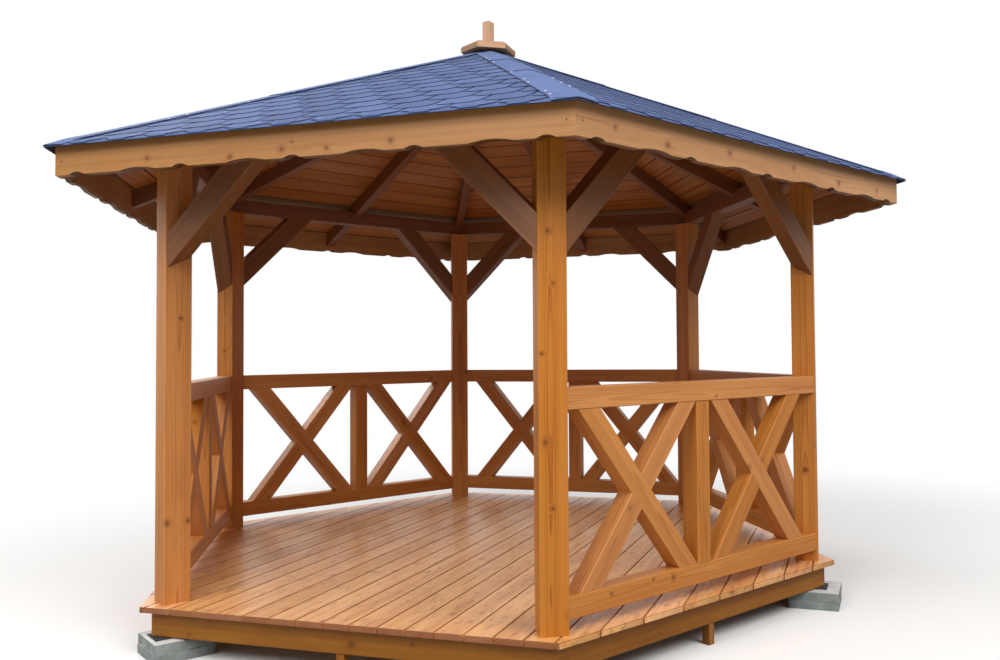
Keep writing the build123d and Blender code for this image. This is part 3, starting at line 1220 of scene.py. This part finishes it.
@dataclass
class Deck:
    """Floor boards that run from front to back, with open joints."""

    first_joint: float = -0.9078
    pitch: float = 0.1404
    gap: float = 0.0065
    arris: float = 0.0020
    end_play: float = 0.003
    pith_spread: float = 0.05
    # The dark arris colour is painted shade in the open joints between the boards
    finish: WoodFinish = WoodFinish(
        "stained_deck", srgb(244, 184, 116), srgb(196, 126, 68), srgb(122, 64, 34),
        knot_colour=srgb(84, 42, 20), halo_colour=srgb(152, 84, 42), arris_colour=srgb(116, 62, 32),
        ring_share=0.5, streak_share=0.7, cloud_share=0.6, blotch_share=0.55, blotch_start=0.53,
        blotch_scale=(11.0, 46.0, 46.0), arris_share=0.9, tone_share=0.13, end_share=0.85, knot_share=0.5,
        knot_strength=0.8, roughness=0.34, gloss=0.5)

    def build(self) -> None:
        """Lays the boards."""
        low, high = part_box("deck")
        apothem, draw, stack = high.y, random.Random("deck"), BoardStack()
        # In the boards' own frame X runs to the back and Y to the left
        turned = Matrix(((0, -1, 0), (1, 0, 0), (0, 0, 1))).to_4x4()
        place = Matrix.Translation((0, 0, low.z)) @ turned
        reach = apothem / math.cos(HALF_STEP)
        first = math.ceil((-reach - self.first_joint) / self.pitch) - 1
        joint = self.first_joint + first * self.pitch
        while joint < reach:
            left, right = joint + self.gap / 2, joint + self.pitch - self.gap / 2
            outline = [(-reach, -right), (reach, -right), (reach, -left), (-reach, -left)]
            for side in range(6):
                angle, play = STEP * side, draw.uniform(0, self.end_play)
                outline = clip(outline, -math.cos(angle), -math.sin(angle), apothem - play)
            middle = Matrix.Translation((0, -(left + right) / 2, 0))
            local = [(x, y + (left + right) / 2) for x, y in outline]
            stack.add(local, place @ middle, 0.0, high.z - low.z, self.arris / 2, self.arris)
            joint += self.pitch
        mesh = stack.mesh("deck_boards", GrainWriter(pith_spread=self.pith_spread))
        Piece("deck_boards", mesh, self.finish.build()).fit("deck", slot=Slot.DECK)


@dataclass
class Soffit:
    """Roof boarding that shows from below, board by board."""

    slopes: list[Slope]
    joint_run: float = 1.007
    joint_step: float = 0.1255
    gap: float = 0.0026
    bevel: float = 0.005
    reach: float = 2.0
    pith_spread: float = 0.06
    # The dark arris colour on the bevels is painted shade in the joints between the boards
    finish: WoodFinish = WoodFinish(
        "stained_soffit", srgb(190, 124, 64), srgb(130, 76, 36), srgb(116, 70, 38),
        arris_colour=srgb(78, 42, 22), streak_share=0.6, cloud_share=0.4, blotch_share=0.4, arris_share=0.6,
        knot_share=0.4, knot_strength=0.7, roughness=0.55)

    def build(self) -> None:
        """Lays the boards of the six slopes."""
        material = self.finish.build()
        for slope in self.slopes:
            self._slope(slope, material)

    def _slope(self, slope: Slope, material: bpy.types.Material) -> None:
        """Lays one slope.

        Args:
            slope: The slope.
            material: Material of the boards.
        """
        node = f"roof_boards_{slope.name}"
        mesh = NODES[node].data
        runs = [vertex.co.dot(slope.out) for vertex in mesh.vertices]
        heights = [(vertex.co - slope.apex).dot(slope.normal) for vertex in mesh.vertices]
        low_run, high_run, thickness = min(runs), max(runs), max(heights)
        joints = [low_run]
        count = math.ceil((low_run - self.joint_run) / self.joint_step)
        joint = self.joint_run + count * self.joint_step
        while joint < high_run:
            joints.append(joint)
            joint += self.joint_step
        joints.append(high_run)
        stack = BoardStack()
        for inner, outer in zip(joints, joints[1:]):
            top, bottom = slope.up_at(inner) - self.gap / 2, slope.up_at(outer) + self.gap / 2
            outline = [(-self.reach, bottom), (self.reach, bottom), (self.reach, top), (-self.reach, top)]
            outline = slope.between_hips(outline, 0.0, margin=MM)
            middle = (top + bottom) / 2
            outline = [(x, y - middle) for x, y in outline]
            place = slope.place() @ Matrix.Translation((0, middle, 0))
            stack.add(outline, place, 0.0, thickness, self.bevel)
        name = f"soffit_boards_{slope.name}"
        mesh = stack.mesh(name, GrainWriter(pith_spread=self.pith_spread))
        Piece(name, mesh, material).fit(node, slot=Slot.BOARD)


@dataclass
class ShingleRoof:
    """Courses of cut shingles over an underlay, on six slopes.

    Attributes:
        exposure: Length of a tab that the next course leaves open.
        first_edge: Place of the first course's lower edge, from the edge of the solid up the slope.
        second_edge: Place of the second course's.
        lap: What lies hidden under the next course.
        first_slot: Place of a slot of the front slope along the eaves.
        corner_bend: Points of a cut corner, in shares of the cut and of the rise.
        low_lift: How far a tab's lower edge rises over the underlay.
        seat_gap: How far its upper edge stays over the underlay.
    """

    slopes: list[Slope]
    tab_pitch: float = 0.214
    slot: float = 0.014
    exposure: float = 0.165
    first_edge: float = 0.013
    second_edge: float = 0.122
    lap: float = 0.060
    corner_cut: float = 0.055
    corner_rise: float = 0.045
    corner_bend: Outline = ((1.0, 0.0), (0.55, 0.22), (0.2, 0.58), (0.0, 1.0))
    first_slot: float = 0.084
    tab_thickness: float = 0.0035
    tab_arris: float = 0.0006
    arris_width: float = 0.0012
    low_lift: float = 0.0049
    seat_gap: float = 0.0004
    underlay: float = 0.0010
    underlay_start: float = 0.04
    lip_width: float = 0.012
    lip_angle: float = math.radians(52)
    starter_width: float = 0.20
    top_run: float = 0.075
    last_room: float = 0.02
    reach: float = 3.0
    finish: ShingleFinish = ShingleFinish(
        "slate_shingles", srgb(91, 111, 157), srgb(55, 70, 109), slot_height=0.200, slot_half=0.008)

    def build(self) -> None:
        """Lays the six slopes."""
        material = self.finish.build()
        for slope in self.slopes:
            self._slope(slope, material)

    def _tab(self, exposure: float) -> Outline:
        """Outline of one tab, its origin at the middle of its lower edge, with softened cut corners.

        Args:
            exposure: Length that the next course leaves open.

        Returns:
            The outline, anticlockwise.
        """
        half, length = (self.tab_pitch - self.slot) / 2, exposure + self.lap
        cut, rise = self.corner_cut, self.corner_rise
        right = [(half - x * cut, y * rise) for x, y in self.corner_bend]
        left = [(-x, y) for x, y in reversed(right)]
        return right + [(half, length), (-half, length)] + left

    def _slope(self, slope: Slope, material: bpy.types.Material) -> None:
        """Lays one slope.

        Args:
            slope: The slope.
            material: Material of the shingles.
        """
        node = f"shingles_{slope.name}"
        mesh = NODES[node].data
        edge_run = max(vertex.co.dot(slope.out) for vertex in mesh.vertices)
        base = min((vertex.co - slope.apex).dot(slope.normal) for vertex in mesh.vertices)
        starter_top = base + self.underlay + self.tab_thickness
        edge, top = slope.up_at(edge_run, starter_top), slope.up_at(self.top_run, base)
        stack = BoardStack()
        starter = edge + self.first_edge - MM
        self._sheet(stack, slope, edge + self.underlay_start, top, base, self.underlay)
        starter_end = edge + self.starter_width
        self._sheet(stack, slope, starter, starter_end, base + self.underlay, self.tab_thickness)
        self._lip(stack, slope, starter, base + self.underlay)
        seat = base + self.underlay + self.low_lift
        draw = random.Random(node)
        phase = 0.0 if slope.index == 0 else draw.uniform(0, self.tab_pitch)
        course, low = 0, edge + self.first_edge
        # X of a tab's own frame runs up the slope
        upright = Matrix.Rotation(math.pi / 2, 4, "Z")
        while low < top - self.last_room:
            exposure = self.second_edge - self.first_edge if course == 0 else self.exposure
            tilt = Matrix.Rotation(-(self.low_lift - self.seat_gap) / (exposure + self.lap), 4, "X")
            offset = self.first_slot + phase + self.tab_pitch * (0.5 if course % 2 == 0 else 0.0)
            half_width = -low * math.cos(slope.pitch) * math.tan(HALF_STEP) + self.tab_pitch
            count = math.ceil(half_width / self.tab_pitch)
            for number in range(-count, count + 1):
                x = offset + number * self.tab_pitch
                outline = slope.between_hips(self._tab(exposure), base, MM, x, low)
                outline = clip(outline, 0.0, 1.0, top - low)
                stray, rise = draw.uniform(-1, 1) * MM, draw.uniform(0, 0.5) * MM
                place = slope.place() @ Matrix.Translation((x, low + stray, seat + rise)) @ tilt @ upright
                turned = [(up, -along) for along, up in outline]
                stack.add(turned, place, 0.0, self.tab_thickness, 0.0, self.tab_arris, least=2 * MM)
                if course == 0:
                    self._lip(stack, slope, low + stray, seat + rise, x)
            low += exposure
            course += 1
        name = f"shingle_courses_{slope.name}"
        mesh = stack.mesh(name, GrainWriter(arris_width=self.arris_width, kept=True))
        Piece(name, mesh, material).fit(node, slot=Slot.SHINGLE)

    def _lip(self, stack: BoardStack, slope: Slope, low: float, height: float,
             middle: float | None = None) -> None:
        """Turns a lower edge down over the eaves.

        Args:
            stack: Where the lip is added.
            slope: The slope.
            low: Place of the edge, up the slope.
            height: Height of its underside over the rafters.
            middle: Middle of the tab along the eaves, or None for the whole length.
        """
        fall, thickness = self.lip_angle, self.tab_thickness
        run = height * math.sin(slope.pitch) - low * math.cos(slope.pitch)
        crest = slope.place() @ Vector((middle or 0.0, low, height + thickness))
        ends = [(run + share * math.cos(fall)) * math.tan(HALF_STEP) for share in (0.0, self.lip_width)]
        if middle is not None:
            half = self.tab_pitch / 2 - self.slot / 2 - self.corner_cut
            if abs(middle) + half > ends[0]:
                return
            ends = [half, half]
        # The lip starts past the painted band at a tab's own edge
        start, end = self.lip_width, 2 * self.lip_width
        outline = [(start, -ends[0]), (end, -ends[1]), (end, ends[1]), (start, ends[0])]
        down = slope.out * math.cos(fall) - Vector((0, 0, math.sin(fall)))
        face = slope.out * math.sin(fall) + Vector((0, 0, math.cos(fall)))
        place = Matrix.Translation(crest - down * start) @ axes(down, slope.along, face)
        stack.add(outline, place, -thickness, 0.0, least=MM)

    def _sheet(self, stack: BoardStack, slope: Slope, low: float, high: float, base: float,
               thickness: float) -> None:
        """Lays a plain strip along the eaves, with its underside at the base's height."""
        outline = [(-self.reach, low), (self.reach, low), (self.reach, high), (-self.reach, high)]
        stack.add(slope.between_hips(outline, base), slope.place(), base, base + thickness)


@dataclass
class HipCaps:
    """Folded strips of shingle over the hips, nailed along both sides.

    Attributes:
        joints: Where one strip ends and the next begins, from the centre on plan.
        bow: How far the lower end of a strip curves back at its sides.
        skew: How far that end may lie askew.
        lift: How far it rises over the strip below.
        hump: How far the last strip swells at the eaves.
        hump_start: Share of that strip at which it begins to swell.
        droop: How far its last row bends down.
        left_nails: Places of the nails left of a hip, from the centre on plan.
        right_nails: Places of those right of it.
    """

    slopes: list[Slope]
    half_width: float = 0.0975
    seat: float = 0.003
    thickness: float = 0.003
    fold: float = 0.014
    wing_share: float = 0.6
    rows: int = 14
    joints: tuple[float, ...] = (0.80, 1.50)
    overlap: float = 0.09
    bow: float = 0.028
    skew: float = 0.012
    lift: float = 0.0032
    hump: float = 0.004
    hump_start: float = 0.85
    droop: float = 0.009
    eaves_gap: float = 0.002
    top_radius: float = 0.10
    nail_radius: float = 0.006
    nail_height: float = 0.0020
    nail_reach: float = 0.085
    nail_stray: float = 0.006
    nail_play: float = 0.07
    nail_lift: float = 0.4
    left_nails: tuple[float, ...] = (0.54, 0.70, 0.88, 1.50, 1.85, 2.00, 2.35, 2.46)
    right_nails: tuple[float, ...] = (1.40, 1.72, 1.93, 2.07)
    finish: ShingleFinish = ShingleFinish(
        "slate_caps", srgb(100, 121, 170), srgb(66, 82, 124), tone_share=0.1)
    nail: NailFinish = NailFinish("zinc_nails")

    def __post_init__(self) -> None:
        """Reads from the node how high the caps lie and where the eaves are."""
        front = self.slopes[0]
        on_front = [vertex.co for vertex in NODES["hip_caps"].data.vertices
                    if abs(vertex.co.x) < vertex.co.dot(front.out) * math.tan(HALF_STEP) - MM]
        self.base = min((point - front.apex).dot(front.normal) for point in on_front) + self.seat
        self.edge_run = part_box("hip_caps")[1].y

    def build(self) -> None:
        """Lays the caps of the six hips and their nails."""
        caps, nails = bmesh.new(), bmesh.new()
        draw = random.Random("hip_caps")
        for corner in range(6):
            radii = (self.top_radius, *self.joints, None)
            for number, (start, end) in enumerate(zip(radii, radii[1:])):
                self._strip(caps, corner, start - (self.overlap if number else 0), end, draw)
            self._nails(nails, corner, draw)
        self._finish_strips(caps)
        Piece("cap_nails", close_mesh(nails, "cap_nails"), self.nail.build()).fit()

    def _ends(self, corner: int) -> tuple[tuple[Vector, Vector], tuple[Vector, Vector], Vector]:
        """Directions at one hip.

        Args:
            corner: Number of the corner.

        Returns:
            Wing direction and normal of the left slope, those of the right one, and where the hip points.
        """
        left, right = self.slopes[corner - 1], self.slopes[corner]
        plan = (left.out + right.out).normalized()
        fall = Vector((plan.x, plan.y, -math.cos(HALF_STEP) * math.tan(right.pitch))).normalized()
        wings = []
        for slope, sign in ((left, -1), (right, 1)):
            wing = slope.normal.cross(fall)
            wings.append((wing if wing.dot(slope.along) * sign > 0 else -wing, slope.normal))
        return wings[0], wings[1], plan

    def _point(self, corner: int, radius: float, across: float, height: float) -> Vector:
        """Point of a folded strip.

        Args:
            corner: Number of the corner.
            radius: Distance from the centre on plan, along the hip.
            across: Distance from the hip over the slope, negative on the left one.
            height: Height over the rafters.

        Returns:
            The point.
        """
        left, right, plan = self._ends(corner)
        slope = self.slopes[corner]
        run = radius * math.cos(HALF_STEP)
        level = slope.apex.z + height / math.cos(slope.pitch) - run * math.tan(slope.pitch)
        crest = Vector((plan.x * radius, plan.y * radius, level))
        if abs(across) >= self.fold:
            return crest + (left if across < 0 else right)[0] * abs(across)
        share = (across / self.fold + 1) / 2
        start, end = crest + left[0] * self.fold, crest + right[0] * self.fold
        return start * (1 - share) ** 2 + crest * 2 * share * (1 - share) + end * share ** 2

    def _strip(self, work: bmesh.types.BMesh, corner: int, start: float, end: float | None,
               draw: random.Random) -> None:
        """Adds one strip.

        Args:
            work: Mesh that it goes into.
            corner: Number of the corner.
            start: Its upper end, on plan.
            end: Its lower end, or None at the eaves.
            draw: Source of the small unevenness.
        """
        wide, fold, bend = self.half_width, self.fold, self.wing_share * self.half_width
        stations = (-wide, -bend, -fold, -fold / 2, 0.0, fold / 2, fold, bend, wide)
        wing_out = self._ends(corner)[1][0].dot(self.slopes[corner].out)
        skew = draw.uniform(-self.skew, self.skew)
        grids = []
        for thickness in (0.0, self.thickness):
            grid = []
            for row in range(self.rows + 1):
                share = row / self.rows
                line = []
                for across in stations:
                    if end is None:
                        run = self.edge_run - abs(across) * wing_out
                        last = run / math.cos(HALF_STEP) - self.eaves_gap
                        swell = max(0.0, share - self.hump_start) / (1 - self.hump_start)
                        lift = self.hump * (1 - (across / wide) ** 2) * swell
                        lift -= self.droop if row == self.rows else 0.0
                    else:
                        last = end - self.bow * (across / wide) ** 2 + skew * across / wide
                        lift = self.lift * share ** 2
                    radius = start + (last - start) * share
                    point = self._point(corner, radius, across, self.base + lift + thickness)
                    line.append(work.verts.new(point))
                grid.append(line)
            grids.append(grid)
        self._skin(work, grids)

    @staticmethod
    def _skin(work: bmesh.types.BMesh, grids: list[list[list[bmesh.types.BMVert]]]) -> None:
        """Closes two like grids of points into a thin solid.

        Args:
            work: Mesh that the points are in.
            grids: The lower grid and the upper one.
        """
        low, high = grids
        rows, columns = len(low), len(low[0])
        for row in range(rows - 1):
            for column in range(columns - 1):
                for grid in grids:
                    work.faces.new((grid[row][column], grid[row][column + 1], grid[row + 1][column + 1],
                                    grid[row + 1][column]))
        for row in range(rows - 1):
            for column in (0, columns - 1):
                a, b = low[row][column], low[row + 1][column]
                work.faces.new((a, b, high[row + 1][column], high[row][column]))
        for column in range(columns - 1):
            for row in (0, rows - 1):
                a, b = low[row][column], low[row][column + 1]
                work.faces.new((a, b, high[row][column + 1], high[row][column]))

    def _finish_strips(self, work: bmesh.types.BMesh) -> None:
        """Makes the caps' piece.

        Args:
            work: Mesh of all the strips.
        """
        bmesh.ops.recalc_face_normals(work, faces=work.faces)
        mesh = close_mesh(work, "hip_cap_strips")
        sticks = [stick_of(mesh, faces, self._hip_axis(mesh, faces)) for faces in islands(mesh)]
        GrainWriter(arris_width=0.0).write(mesh, sticks, "hip_cap_strips")
        Piece("hip_cap_strips", mesh, self.finish.build()).fit("hip_caps", slot=Slot.SHINGLE)

    def _hip_axis(self, mesh: bpy.types.Mesh, faces: list[int]) -> Vector:
        """Direction of the hip that a strip lies on.

        Args:
            mesh: Mesh that the strip is in.
            faces: Its faces.

        Returns:
            The direction, down the hip.
        """
        middle = sum((mesh.polygons[index].center for index in faces), Vector()) / len(faces)
        angles = [STEP * (corner - 2) for corner in range(6)]
        angle = max(angles, key=lambda a: middle.x * math.cos(a) + middle.y * math.sin(a))
        fall = -math.cos(HALF_STEP) * math.tan(self.slopes[0].pitch)
        return Vector((math.cos(angle), math.sin(angle), fall))

    def _nails(self, work: bmesh.types.BMesh, corner: int, draw: random.Random) -> None:
        """Adds the nail heads of one hip.

        Args:
            work: Mesh that they go into.
            corner: Number of the corner.
            draw: Source of the uneven spacing.
        """
        left, right, _ = self._ends(corner)
        # The nails of the near hip lie where the fields say, and those of the other hips stray from there
        play = 0.0 if CORNERS[corner] == "front_right" else self.nail_play
        height = self.base + self.thickness + self.lift * self.nail_lift
        squash = (1.0, 1.0, self.nail_height / self.nail_radius)
        for sign, radii, (_, normal) in ((-1, self.left_nails, left), (1, self.right_nails, right)):
            turn = normal.to_track_quat("Z", "Y").to_matrix().to_4x4()
            for radius in radii:
                radius += draw.uniform(-play, play) if play else 0.0
                across = sign * (self.nail_reach + draw.uniform(-self.nail_stray, self.nail_stray))
                foot = self._point(corner, radius, across, height)
                add_head(work, self.nail_radius, squash, Matrix.Translation(foot) @ turn)


@dataclass
class Fixings:
    """Screw heads at the ends of the rims and the fascia, and a plug in each top rail."""

    screw_radius: float = 0.0045
    screw_height: float = 0.0014
    rim_inset: float = 0.034
    rim_heights: tuple[float, float] = (0.149, 0.202)
    fascia_inset: float = 0.038
    fascia_height: float = 2.392
    plug_radius: float = 0.010
    plug_height: float = 0.0012
    plug_arris: float = 0.0004
    plug_along: float = 0.066
    plug_level: float = 1.254
    plug_points: int = 20
    steel: NailFinish = NailFinish("dark_screws", srgb(92, 78, 64), srgb(54, 44, 36))
    wood: WoodFinish = WoodFinish(
        "stained_plugs", srgb(206, 138, 76), srgb(150, 86, 40), srgb(150, 88, 46), knot_share=0.0)

    def build(self) -> None:
        """Sets the screws and the plugs."""
        self._screws()
        self._plugs()

    def _screws(self) -> None:
        """Sets two screws at each end of a rim, and one at each end of a fascia board."""
        work = bmesh.new()
        squash = (1.0, self.screw_height / self.screw_radius, 1.0)
        rows = (("rim_joist_front", self.rim_inset, self.rim_heights),
                ("fascia_front", self.fascia_inset, (self.fascia_height,)))
        for side in range(6):
            turn = Matrix.Rotation(STEP * side, 4, "Z")
            for node, gap, heights in rows:
                out = -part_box(node)[0].y
                end = out * math.tan(HALF_STEP) - gap
                for sign in (-1, 1):
                    for height in heights:
                        place = turn @ Matrix.Translation((sign * end, -out, height))
                        add_head(work, self.screw_radius, squash, place)
        Piece("screw_heads", close_mesh(work, "screw_heads"), self.steel.build()).fit()

    def _plugs(self) -> None:
        """Sets one plug in the outer face of each top rail."""
        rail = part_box("top_rails")[1].y
        stack = BoardStack()
        angles = [2 * math.pi * point / self.plug_points for point in range(self.plug_points)]
        outline = [(self.plug_radius * math.cos(a), self.plug_radius * math.sin(a)) for a in angles]
        middle = Matrix.Translation((self.plug_along, -rail, self.plug_level))
        outward = Matrix.Rotation(math.pi / 2, 4, "X")
        for side in range(1, 6):
            place = Matrix.Rotation(STEP * side, 4, "Z") @ middle @ outward
            stack.add(outline, place, -self.plug_height, self.plug_height, 0.0, self.plug_arris, MM)
        mesh = stack.mesh("rail_plugs", GrainWriter(arris_width=2 * self.plug_arris))
        Piece("rail_plugs", mesh, self.wood.build()).fit(slot=Slot.FRAME)


@dataclass
class Supports:
    """Concrete slabs with worn edges, and the felt pads on them."""

    cell: float = 0.025
    wear: float = 0.0012
    wear_scale: float = 40.0
    chip: float = 0.007
    chip_scale: float = 9.0
    chip_share: float = 0.15
    felt_chip: float = 0.002
    edge_wear: float = 0.0015
    concrete: ConcreteFinish = ConcreteFinish("cast_concrete")
    felt: FeltFinish = FeltFinish("bitumen_felt")

    def build(self) -> None:
        """Dresses the slabs and the pads."""
        concrete, felt = self.concrete.build(), self.felt.build()
        for node, material, slot, chip in (("slabs_lower", concrete, Slot.CONCRETE, self.chip),
                                           ("slabs_upper", concrete, Slot.CONCRETE, self.chip),
                                           ("pier_pads", felt, Slot.FELT, self.felt_chip)):
            mesh = self._worn(node, chip)
            sticks = [stick_of(mesh, faces) for faces in islands(mesh)]
            GrainWriter(arris_width=0.0).write(mesh, sticks, node)
            Piece(f"worn_{node}", mesh, material).fit(node, slot=slot)

    def _worn(self, node: str, chip: float) -> bpy.types.Mesh:
        """Copies a node with rough faces and broken edges.

        Args:
            node: Name of the node.
            chip: How deep the deepest chips are.

        Returns:
            The mesh.
        """
        mesh = clean_copy(node)
        work = bmesh.new()
        work.from_mesh(mesh)
        edges = [edge for edge in work.edges if edge.calc_length() > 4 * self.cell]
        cuts = round(max(edge.calc_length() for edge in edges) / self.cell) - 1
        bmesh.ops.subdivide_edges(work, edges=edges, cuts=cuts, use_grid_fill=True)
        work.normal_update()
        moves = []
        for vertex in work.verts:
            normals = [face.normal for face in vertex.link_faces]
            # Faces at an angle meet only along an edge or at a corner, which wear more
            corner = min((a.dot(b) for a in normals for b in normals), default=1.0) < 0.5
            broad = field_noise.noise(vertex.co * self.chip_scale)
            depth = self.wear * field_noise.noise(vertex.co * self.wear_scale)
            if corner:
                depth -= chip * max(0.0, broad + self.chip_share) + self.edge_wear
            moves.append((vertex, vertex.normal * min(depth, 0.0)))
        floor = min(vertex.co.z for vertex in work.verts)
        for vertex, move in moves:
            on_floor = vertex.co.z < floor + MM
            vertex.co += Vector((move.x, move.y, 0.0 if on_floor else move.z))
        work.to_mesh(mesh)
        work.free()
        return mesh


@dataclass(frozen=True)
class Lamp:
    """A broad round lamp that looks at the middle of the gazebo."""

    name: str
    azimuth: float
    height: float
    distance: float
    size: float
    energy: float
    target: Triple = (0.0, 0.0, 1.2)

    def build(self) -> None:
        """Hangs the lamp: an azimuth of 0 is straight in front, and 90 is to the right."""
        azimuth, height = math.radians(self.azimuth), math.radians(self.height)
        level = math.cos(height)
        away = Vector((math.sin(azimuth) * level, -math.cos(azimuth) * level, math.sin(height)))
        data = bpy.data.lights.new(self.name, "AREA")
        data.shape = "DISK"
        data.size = self.size
        data.energy = self.energy
        lamp = link_object(self.name, data)
        turn = (-away).to_track_quat("-Z", "Y").to_matrix().to_4x4()
        lamp.matrix_world = Matrix.Translation(Vector(self.target) + away * self.distance) @ turn
        log.info("%s: %.0f W", self.name, self.energy)


@dataclass
class Studio:
    """Plain pale floor, three broad soft lamps and a sky that is darker at the horizon."""

    floor_radius: float = 60.0
    floor_colour: Colour = (0.90, 0.90, 0.89, 1.0)
    bounce: Colour = (0.40, 0.40, 0.39, 1.0)
    fade_start: float = 2.8
    fade_end: float = 7.0
    key: Lamp = Lamp("key_lamp", azimuth=-14.0, height=34.0, distance=12.5, size=7.0, energy=850.0)
    side: Lamp = Lamp("side_lamp", azimuth=56.0, height=38.0, distance=12.0, size=7.0, energy=860.0)
    back: Lamp = Lamp("back_lamp", azimuth=-115.0, height=32.0, distance=12.0, size=6.0, energy=560.0)
    horizon: float = 0.12
    zenith: float = 0.46
    zenith_start: float = 0.5

    def build(self) -> None:
        """Makes the floor, the lamps and the world."""
        self._floor()
        self._world()
        for lamp in (self.key, self.side, self.back):
            lamp.build()

    def _floor(self) -> None:
        """Makes the floor: pale to the camera, white far off, darker to the light that it throws back."""
        work = bmesh.new()
        bmesh.ops.create_circle(work, cap_ends=True, segments=96, radius=self.floor_radius)
        mesh = close_mesh(work, "studio_floor")
        floor = link_object("studio_floor", mesh)
        g = ShaderGraph("studio_floor")
        seen = g.node("ShaderNodeLightPath").outputs["Is Camera Ray"]
        white = g.times(g.ramp(g.length(g.place()), self.fade_start, self.fade_end), seen)
        colour = g.coat(self.bounce, (seen, self.floor_colour), (white, BLACK))
        g.set(Base_Color=colour, Roughness=0.9, Specular_IOR_Level=0.0)
        g.set(Emission_Color=WHITE, Emission_Strength=white)
        mesh.materials.append(g.material)

    def _world(self) -> None:
        """Makes a soft sky, darker at the horizon, that the camera and shiny surfaces see as white."""
        world = bpy.data.worlds.new("soft_sky")
        bpy.context.scene.world = world
        g = NodeGraph(world)
        path = g.node("ShaderNodeLightPath").outputs
        seen = g.math("MAXIMUM", path["Is Camera Ray"], path["Is Glossy Ray"])
        rise = g.split(g.node("ShaderNodeTexCoord").outputs["Generated"])[2]
        sky = g.ramp(rise, 0.0, self.zenith_start, self.horizon, self.zenith, kind="LINEAR")
        light = {"Color": WHITE, "Strength": g.ramp(seen, 0.0, 1.0, sky, 1.0, kind="LINEAR")}
        background = g.node("ShaderNodeBackground", light)
        g.node("ShaderNodeOutputWorld", {"Surface": background.outputs[0]})


@dataclass
class Viewpoint:
    """Camera at eye level, off the right end of the entrance side."""

    place: Triple = (2.2956, -5.5673, 1.4931)
    yaw: float = -16.4655
    pitch: float = 1.7917
    roll: float = -0.4796
    focal_pixels: float = 914.60
    centre: tuple[float, float] = (584.92, 321.69)
    image: tuple[int, int] = (1000, 660)
    sensor: float = 36.0

    def build(self) -> None:
        """Makes the camera and looks through it."""
        yaw, pitch, roll = (math.radians(angle) for angle in (self.yaw, self.pitch, self.roll))
        ahead = Vector((math.sin(yaw) * math.cos(pitch), math.cos(yaw) * math.cos(pitch), math.sin(pitch)))
        level = Vector((math.cos(yaw), -math.sin(yaw), 0))
        over = level.cross(ahead)
        right = math.cos(roll) * level + math.sin(roll) * over
        above = -math.sin(roll) * level + math.cos(roll) * over
        data = bpy.data.cameras.new("viewpoint")
        width, height = self.image
        data.sensor_width = self.sensor
        data.lens = self.focal_pixels * self.sensor / width
        data.shift_x = (width / 2 - self.centre[0]) / width
        data.shift_y = (self.centre[1] - height / 2) / width
        camera = link_object("viewpoint", data)
        camera.matrix_world = Matrix.Translation(self.place) @ axes(right, above, -ahead)
        bpy.context.scene.camera = camera
        log.info("viewpoint: lens %.2f mm", data.lens)


def main() -> None:
    """Builds every part of the scene in order."""
    bpy.context.scene.view_settings.view_transform = "Standard"
    slopes = [Slope.from_frame(index) for index in range(6)]
    Viewpoint().build()
    Studio().build()
    Supports().build()
    TimberFrame().build()
    Deck().build()
    Soffit(slopes).build()
    ShingleRoof(slopes).build()
    HipCaps(slopes).build()
    Fixings().build()


if __name__ == "__main__":
    logging.basicConfig(level=logging.INFO, format="%(message)s")
    main()
